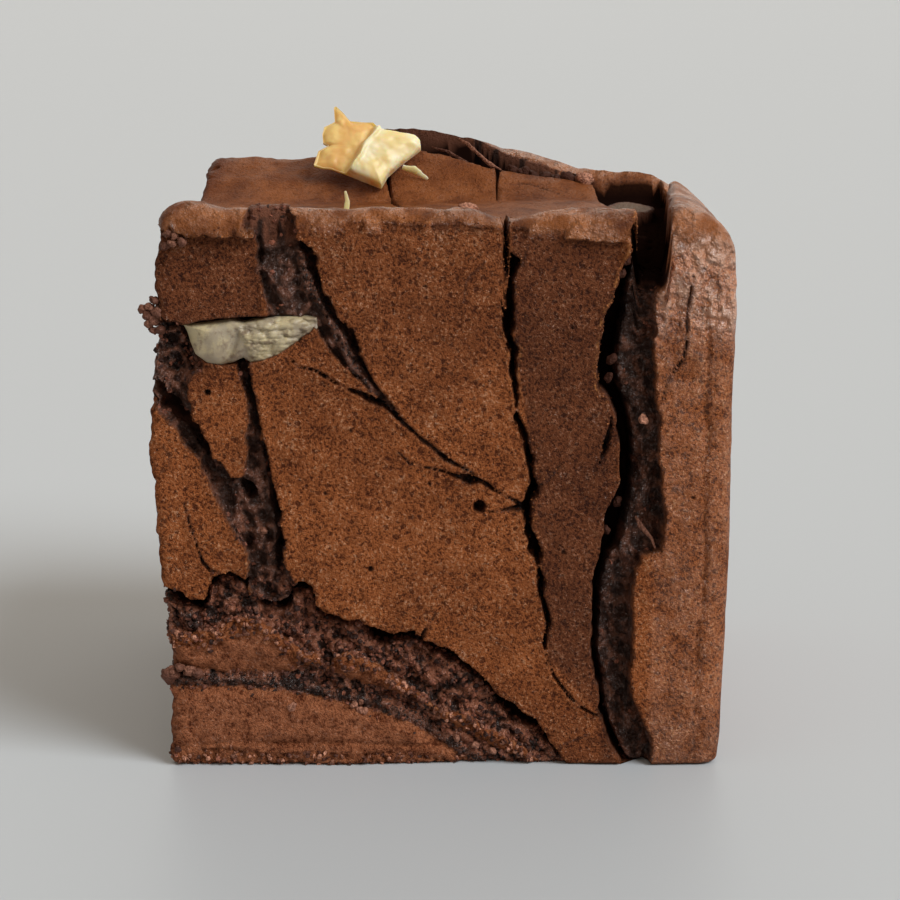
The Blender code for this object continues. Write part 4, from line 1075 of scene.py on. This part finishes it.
def loose_bits(name, rows, finish):
    """Rough lumps of one finish as one mesh, each with a tone of its own."""
    form = bmesh.new()
    tone_layer = form.verts.layers.float.new("tone")
    for number, (middle, half_sizes, turns, tone) in enumerate(rows):
        lump = bmesh.ops.create_icosphere(form, subdivisions=3, radius=1.0)["verts"]
        round_points = np.array([vert.co for vert in lump])
        swollen = 0.85 + 0.5 * rough(round_points, 0.9, 70 + number)
        swollen = swollen + 0.35 * crumbs_of(round_points, 0.6, 71 + number)
        swollen = swollen + 0.18 * rough(round_points + 0.4, 0.37, 72 + number)
        turned = Euler(turns).to_matrix()
        for vert, point, swell in zip(lump, round_points, swollen):
            own = Vector([point[axis] * half_sizes[axis] * swell for axis in range(3)])
            vert.co = (turned @ own + Vector(middle)) * MM
            vert[tone_layer] = tone
    keep_bits(name, form, finish)


DARKEST_LIGHT_BIT = 0.26
dark_crumb = crumb_finish("dark_crumb", (0.055, 0.018, 0.010), (0.22, 0.068, 0.036), 0.05)
loose_bits("loose_crumbs", [row for row in LOOSE_BITS if row[3] > DARKEST_LIGHT_BIT], ledge_crumb)
loose_bits("dark_crumbs", [row for row in LOOSE_BITS if row[3] <= DARKEST_LIGHT_BIT], dark_crumb)

# Thin strips of crust that curled away from the cake as it sank and split. Two hang in the hollow
# under the torn rim, and one lies across the fissure.
# (tone, then rows of middle and half width)
FLAKES = (
    (0.6, ((1.2, 23.6, 59.2, 0.12), (2.4, 23.2, 58.5, 0.28), (3.6, 22.6, 57.4, 0.22),
           (4.9, 22.1, 56.3, 0.3), (6.2, 21.9, 55.7, 0.1))),
    (0.3, ((-1.9, 23.4, 58.2, 0.1), (0.0, 22.9, 57.7, 0.22), (1.9, 22.4, 56.7, 0.15),
           (3.2, 22.1, 56.0, 0.1))),
    (0.45, ((18.9, -26.2, 25.6, 0.1), (19.4, -26.7, 24.7, 0.25), (20.5, -27.0, 23.5, 0.18),
            (20.9, -27.0, 22.4, 0.1))),
)


def curled_flakes(name, rows, finish):
    """Thin strips along their rows of middles, a third as thick as wide, as one mesh."""
    form = bmesh.new()
    tone_layer = form.verts.layers.float.new("tone")
    around, steps = 10, 24
    for number, (tone, stops) in enumerate(rows):
        stops = np.array(stops)
        shares = np.linspace(0, len(stops) - 1, steps)
        numbers = np.arange(len(stops))
        middles = np.stack([np.interp(shares, numbers, column) for column in stops.T], axis=1)
        runs = np.gradient(middles[:, :3], axis=0)
        wide = np.cross(runs, (0.0, 1.0, 0.25))
        wide /= np.linalg.norm(wide, axis=1)[:, None]
        thick = np.cross(wide, runs)
        thick /= np.linalg.norm(thick, axis=1)[:, None]
        rings = []
        for middle, side, out in zip(middles, wide, thick):
            ring = []
            for angle in np.linspace(0, 2 * math.pi, around, endpoint=False):
                spot = middle[:3] + middle[3] * (math.cos(angle) * side + 0.3 * math.sin(angle) * out)
                ragged_half = 1 + 0.35 * float(rough(spot[None], 0.5, 90 + number)[0])
                spot = middle[:3] + (spot - middle[:3]) * ragged_half
                vert = form.verts.new(Vector(spot) * MM)
                vert[tone_layer] = tone
                ring.append(vert)
            rings.append(ring)
        for low, high in zip(rings, rings[1:]):
            for index in range(around):
                following = (index + 1) % around
                form.faces.new((low[index], low[following], high[following], high[index]))
        form.faces.new(rings[0][::-1])
        form.faces.new(rings[-1])
    bmesh.ops.recalc_face_normals(form, faces=form.faces)
    keep_bits(name, form, finish)


curled_flakes("curled_flakes", FLAKES, ledge_crumb)

# A chunk of nut came through the crust while it baked. It is a half moon, grey cream and smooth at
# its left, yellow and flaky at its right, and sits in a pocket of the cake.
NUT_OUTLINE = ((-26.2, 45.2), (-24.3, 45.35), (-22.4, 45.55), (-21.55, 45.8), (-20.7, 45.6), (-20.1, 45.45),
               (-18.5, 45.8), (-16.9, 45.95), (-14.3, 46.1), (-12.9, 45.9), (-12.8, 44.9), (-14.3, 44.0),
               (-15.35, 43.25), (-16.9, 42.15), (-18.3, 41.6), (-19.45, 41.45), (-20.2, 41.95),
               (-21.15, 41.5), (-22.2, 41.2), (-23.8, 41.5), (-24.95, 42.35), (-25.5, 43.45),
               (-25.9, 44.55))
NUT_MIDDLE = (-19.8, 43.8)
NUT_FACE = -27.85
NUT_BACK = -24.0


def outline_rings(outline, middle, points, rings):
    """Flat places in rings that fill an outline, with the middle last, and the share of the way from
    the middle to the edge at each."""
    closed = np.array(list(outline) + [outline[0]])
    runs = np.concatenate([[0], np.cumsum(np.hypot(*np.diff(closed, axis=0).T))])
    stops = np.linspace(0, runs[-1], points, endpoint=False)
    edge = np.stack([np.interp(stops, runs, closed[:, axis]) for axis in (0, 1)], axis=1)
    shares = np.sin(np.linspace(0, math.pi / 2, rings + 1)[1:])
    grid = np.array(middle) + shares[:, None, None] * (edge - np.array(middle))[None]
    grid = np.concatenate([grid.reshape(-1, 2), [middle]])
    return on_plane(grid[:, 0], grid[:, 1]), np.concatenate([np.repeat(shares, points), [0]])


def middles_last(front, back):
    """Rows for both sides of a piece in the order of its mesh's points."""
    return np.concatenate([front[:-1], back[:-1], front[-1:], back[-1:]])


def two_sided(name, front, back, points):
    """A closed mesh between two faces made of rings with this many points each, in mm."""
    total = middles_last(front, back)
    front, back = front[:-1], back[:-1]
    rings = len(front) // points
    steps = np.arange(points)
    following = (steps + 1) % points
    faces = []
    for side, start in ((0, 0), (1, len(front))):
        for ring in range(rings - 1):
            low, high = start + ring * points, start + (ring + 1) * points
            rows = np.stack([low + steps, low + following, high + following, high + steps], axis=1)
            faces += (rows if side == 0 else rows[:, ::-1]).tolist()
        tip = len(front) + len(back) + side
        rows = np.stack([np.full(points, tip), start + following, start + steps], axis=1)
        faces += (rows if side == 0 else rows[:, ::-1]).tolist()
    outer_front, outer_back = (rings - 1) * points, len(front) + (rings - 1) * points
    rows = np.stack([outer_front + steps, outer_front + following,
                     outer_back + following, outer_back + steps], axis=1)
    faces += rows.tolist()
    mesh = bpy.data.meshes.new(name)
    mesh.from_pydata((total * MM).tolist(), [], faces)
    form = bmesh.new()
    form.from_mesh(mesh)
    bmesh.ops.recalc_face_normals(form, faces=form.faces)
    form.to_mesh(mesh)
    form.free()
    mesh.shade_smooth()
    return put_in(name, mesh)


NUT_POINTS = 200
NUT_RINGS = 44
nut_places, nut_share = outline_rings(NUT_OUTLINE, NUT_MIDDLE, NUT_POINTS, NUT_RINGS)
nut_across, nut_up = nut_places[:, 0], nut_places[:, 1]
dome = np.sqrt(np.clip(1 - nut_share ** 4, 0, 1))
flaky = ease(nut_across + 0.5 * (nut_up - 43.8), -20.6, -19.8)
scales = crumbs_of(nut_places * (1, 2.2, 1), 1.3, 51) + 0.6 * crumbs_of(nut_places * (1, 1.6, 1), 0.6, 52)
pull = rough(nut_places, 2.6, 53) + 0.5 * rough(nut_places, 1.1, 54)
sunken_edge = 0.5 + 1.1 * ease(nut_up - 0.25 * nut_across, 48.0, 51.0)
nut_front = NUT_FACE + sunken_edge * (1 - dome) - 0.22 * pull - 0.32 * flaky * scales + 0.2 * flaky
nut_front += 0.3 * ridge(nut_across + 21.2 - 0.4 * (nut_up - 43), 0.35) * (1 - flaky)
nut_back = NUT_BACK - 2.0 * (1 - dome) + 0.2 * pull
nut_back = np.maximum(nut_back, nut_front + 0.3)
nut_faces = [np.stack([nut_across, face, nut_up], axis=1) for face in (nut_front, nut_back)]
baked_nut = two_sided("baked_nut_chunk", *nut_faces, NUT_POINTS)

NUT_GREY = (0.38, 0.31, 0.215)
NUT_CREAM = (0.56, 0.46, 0.27)
NUT_STAIN_AND_SHADE = (0.13, 0.075, 0.045)
nut_finish, tree, shader = new_finish("baked_nut_flesh")
place = own_place(tree)
mottle = noise(place, 420.0, 4.0, 0.6)
stain = noise(place, 800.0, 3.0, 0.65)
across_place = add_node(tree, "ShaderNodeSeparateXYZ", (), 0, Vector=place)
up_place = add_node(tree, "ShaderNodeSeparateXYZ", (), 2, Vector=place)
colour = mix(mottle.step(0.4, 0.62), NUT_GREY, NUT_CREAM)
colour = mix(stain.step(0.48, 0.70) * 0.75, colour, NUT_STAIN_AND_SHADE)
# painted shade: the nut is darker towards its bottom
colour = mix((1 - up_place.step(0.0412, 0.0445)) * 0.45, colour, NUT_STAIN_AND_SHADE)
# darker towards its right end
colour = mix(across_place.step(-0.0165, -0.0125) * 0.6, colour, NUT_STAIN_AND_SHADE)
feed(shader, "Base Color", colour)
bump = add_node(tree, "ShaderNodeBump", Strength=0.6, Distance=0.0001, Height=stain + mottle)
feed(shader, "Normal", bump)
shader.inputs["Roughness"].default_value = 0.45
shader.inputs["Subsurface Weight"].default_value = 0.15
shader.inputs["Subsurface Radius"].default_value = (1.0, 0.6, 0.3)
shader.inputs["Subsurface Scale"].default_value = 0.0006
baked_nut.data.materials.append(nut_finish)
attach(baked_nut, "root")
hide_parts("nut_chunk")

# A fresh splinter of nut lies on top against the rim. It has a thin amber plate with a spike at its
# left and a thick pale slab at its right, broken off along one straight ridge.
SHARD_OUTLINE = ((0, 0), (0.7, 1.5), (2.0, 2.9), (3.5, 4.2), (4.5, 5.2), (4.4, 6.1), (3.9, 6.7), (2.5, 7.0),
                 (0, 7.2), (-0.6, 8.3), (-1.1, 8.8), (-3.7, 9.0), (-4.5, 10.1), (-5.4, 11.1), (-5.65, 10.9),
                 (-5.5, 8.9), (-6.7, 8.2), (-6.9, 7.2), (-6.8, 6.1), (-6.1, 5.7), (-7.3, 4.9), (-7.8, 3.0),
                 (-6.9, 2.7), (-5.9, 2.6), (-4.6, 2.1), (-3.5, 1.6))
SHARD_FOOT = (-7.6, 17.0, 54.3)
SHARD_LEAN = math.radians(38)
SHARD_MIDDLE = (-2.4, 5.4)
SHARD_POINTS = 240
SHARD_RINGS = 34
RIDGE_FOOT = (-3.5, 1.7)
RIDGE_RUN = (3.05, 5.5)
shard_places, shard_share = outline_rings(SHARD_OUTLINE, SHARD_MIDDLE, SHARD_POINTS, SHARD_RINGS)
shard_across, shard_up = shard_places[:, 0], shard_places[:, 1]
ridge_place = (shard_across - RIDGE_FOOT[0]) * RIDGE_RUN[1] - (shard_up - RIDGE_FOOT[1]) * RIDGE_RUN[0]
ridge_place = ridge_place / math.hypot(*RIDGE_RUN) + 0.25 * rough(shard_places, 1.5, 61)
slab = ease(ridge_place, -1.0, 0.0)
edge_drop = 1 - np.sqrt(np.clip(1 - shard_share ** 5, 0, 1))
chips = 0.26 * rough(shard_places, 2.2, 62) + 0.10 * rough(shard_places, 0.8, 63)
chips = chips + 0.04 * rough(shard_places, 0.4, 64)
upper = 0.1 + 1.45 * slab - 0.13 * np.clip(ridge_place, 0, None) + chips - 0.8 * edge_drop
upper += 0.35 * ridge(ridge_place - 0.05, 0.25) * slab
lower = -1.05 + 0.5 * edge_drop - 0.5 * chips
upper = np.maximum(upper, lower + 0.35)


def stand_up(height):
    """Places this high above the shard's own plane, which leans back on its foot."""
    back_share, up_share = math.sin(SHARD_LEAN), math.cos(SHARD_LEAN)
    return np.stack([SHARD_FOOT[0] + shard_across,
                     SHARD_FOOT[1] + shard_up * back_share - height * up_share,
                     SHARD_FOOT[2] + shard_up * up_share + height * back_share], axis=1)


fresh_nut = two_sided("fresh_nut_shard", stand_up(upper), stand_up(lower), SHARD_POINTS)
amber = middles_last(1 - slab, 1 - slab)
fresh_nut.data.attributes.new("amber", "FLOAT", "POINT").data.foreach_set("value", amber.astype(np.float32))

SHARD_CREAM = (0.86, 0.67, 0.31)
SHARD_PALE = (0.90, 0.79, 0.50)
SHARD_AMBER = (0.85, 0.56, 0.20)
SHARD_HONEY = (0.78, 0.44, 0.14)
shard_finish, tree, shader = new_finish("fresh_nut_flesh")
place = own_place(tree)
clouds = noise(place, 380.0)
spots = noise(place, 600.0)
amber_mask = on_surface(tree, "amber")
pale = mix(clouds.step(0.42, 0.6), SHARD_CREAM, SHARD_PALE)
pale = mix(spots.step(0.62, 0.7) * 0.6, pale, SHARD_HONEY)
warm = mix(clouds.step(0.4, 0.6), SHARD_AMBER, SHARD_HONEY)
feed(shader, "Base Color", mix(amber_mask, pale, warm))
shader.inputs["Roughness"].default_value = 0.4
shader.inputs["Subsurface Weight"].default_value = 0.5
shader.inputs["Subsurface Radius"].default_value = (1.0, 0.55, 0.2)
shader.inputs["Subsurface Scale"].default_value = 0.002
fresh_nut.data.materials.append(shard_finish)
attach(fresh_nut, "root")
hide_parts("nut_shard")

# Two thin splinters split from the same nut as it was chopped. One stands up behind the lip, and one
# sticks out from under the shard.
SPLINTERS = (
    (0.0, ((-10.15, -22.3, 55.6, 0.25), (-10.0, -22.2, 56.9, 0.24), (-10.2, -22.2, 57.9, 0.12))),
    (0.0, ((-5.2, 18.6, 56.4, 0.3), (-3.6, 18.9, 55.9, 0.45), (-2.3, 18.9, 54.9, 0.15))),
)
curled_flakes("nut_splinters", SPLINTERS, shard_finish)
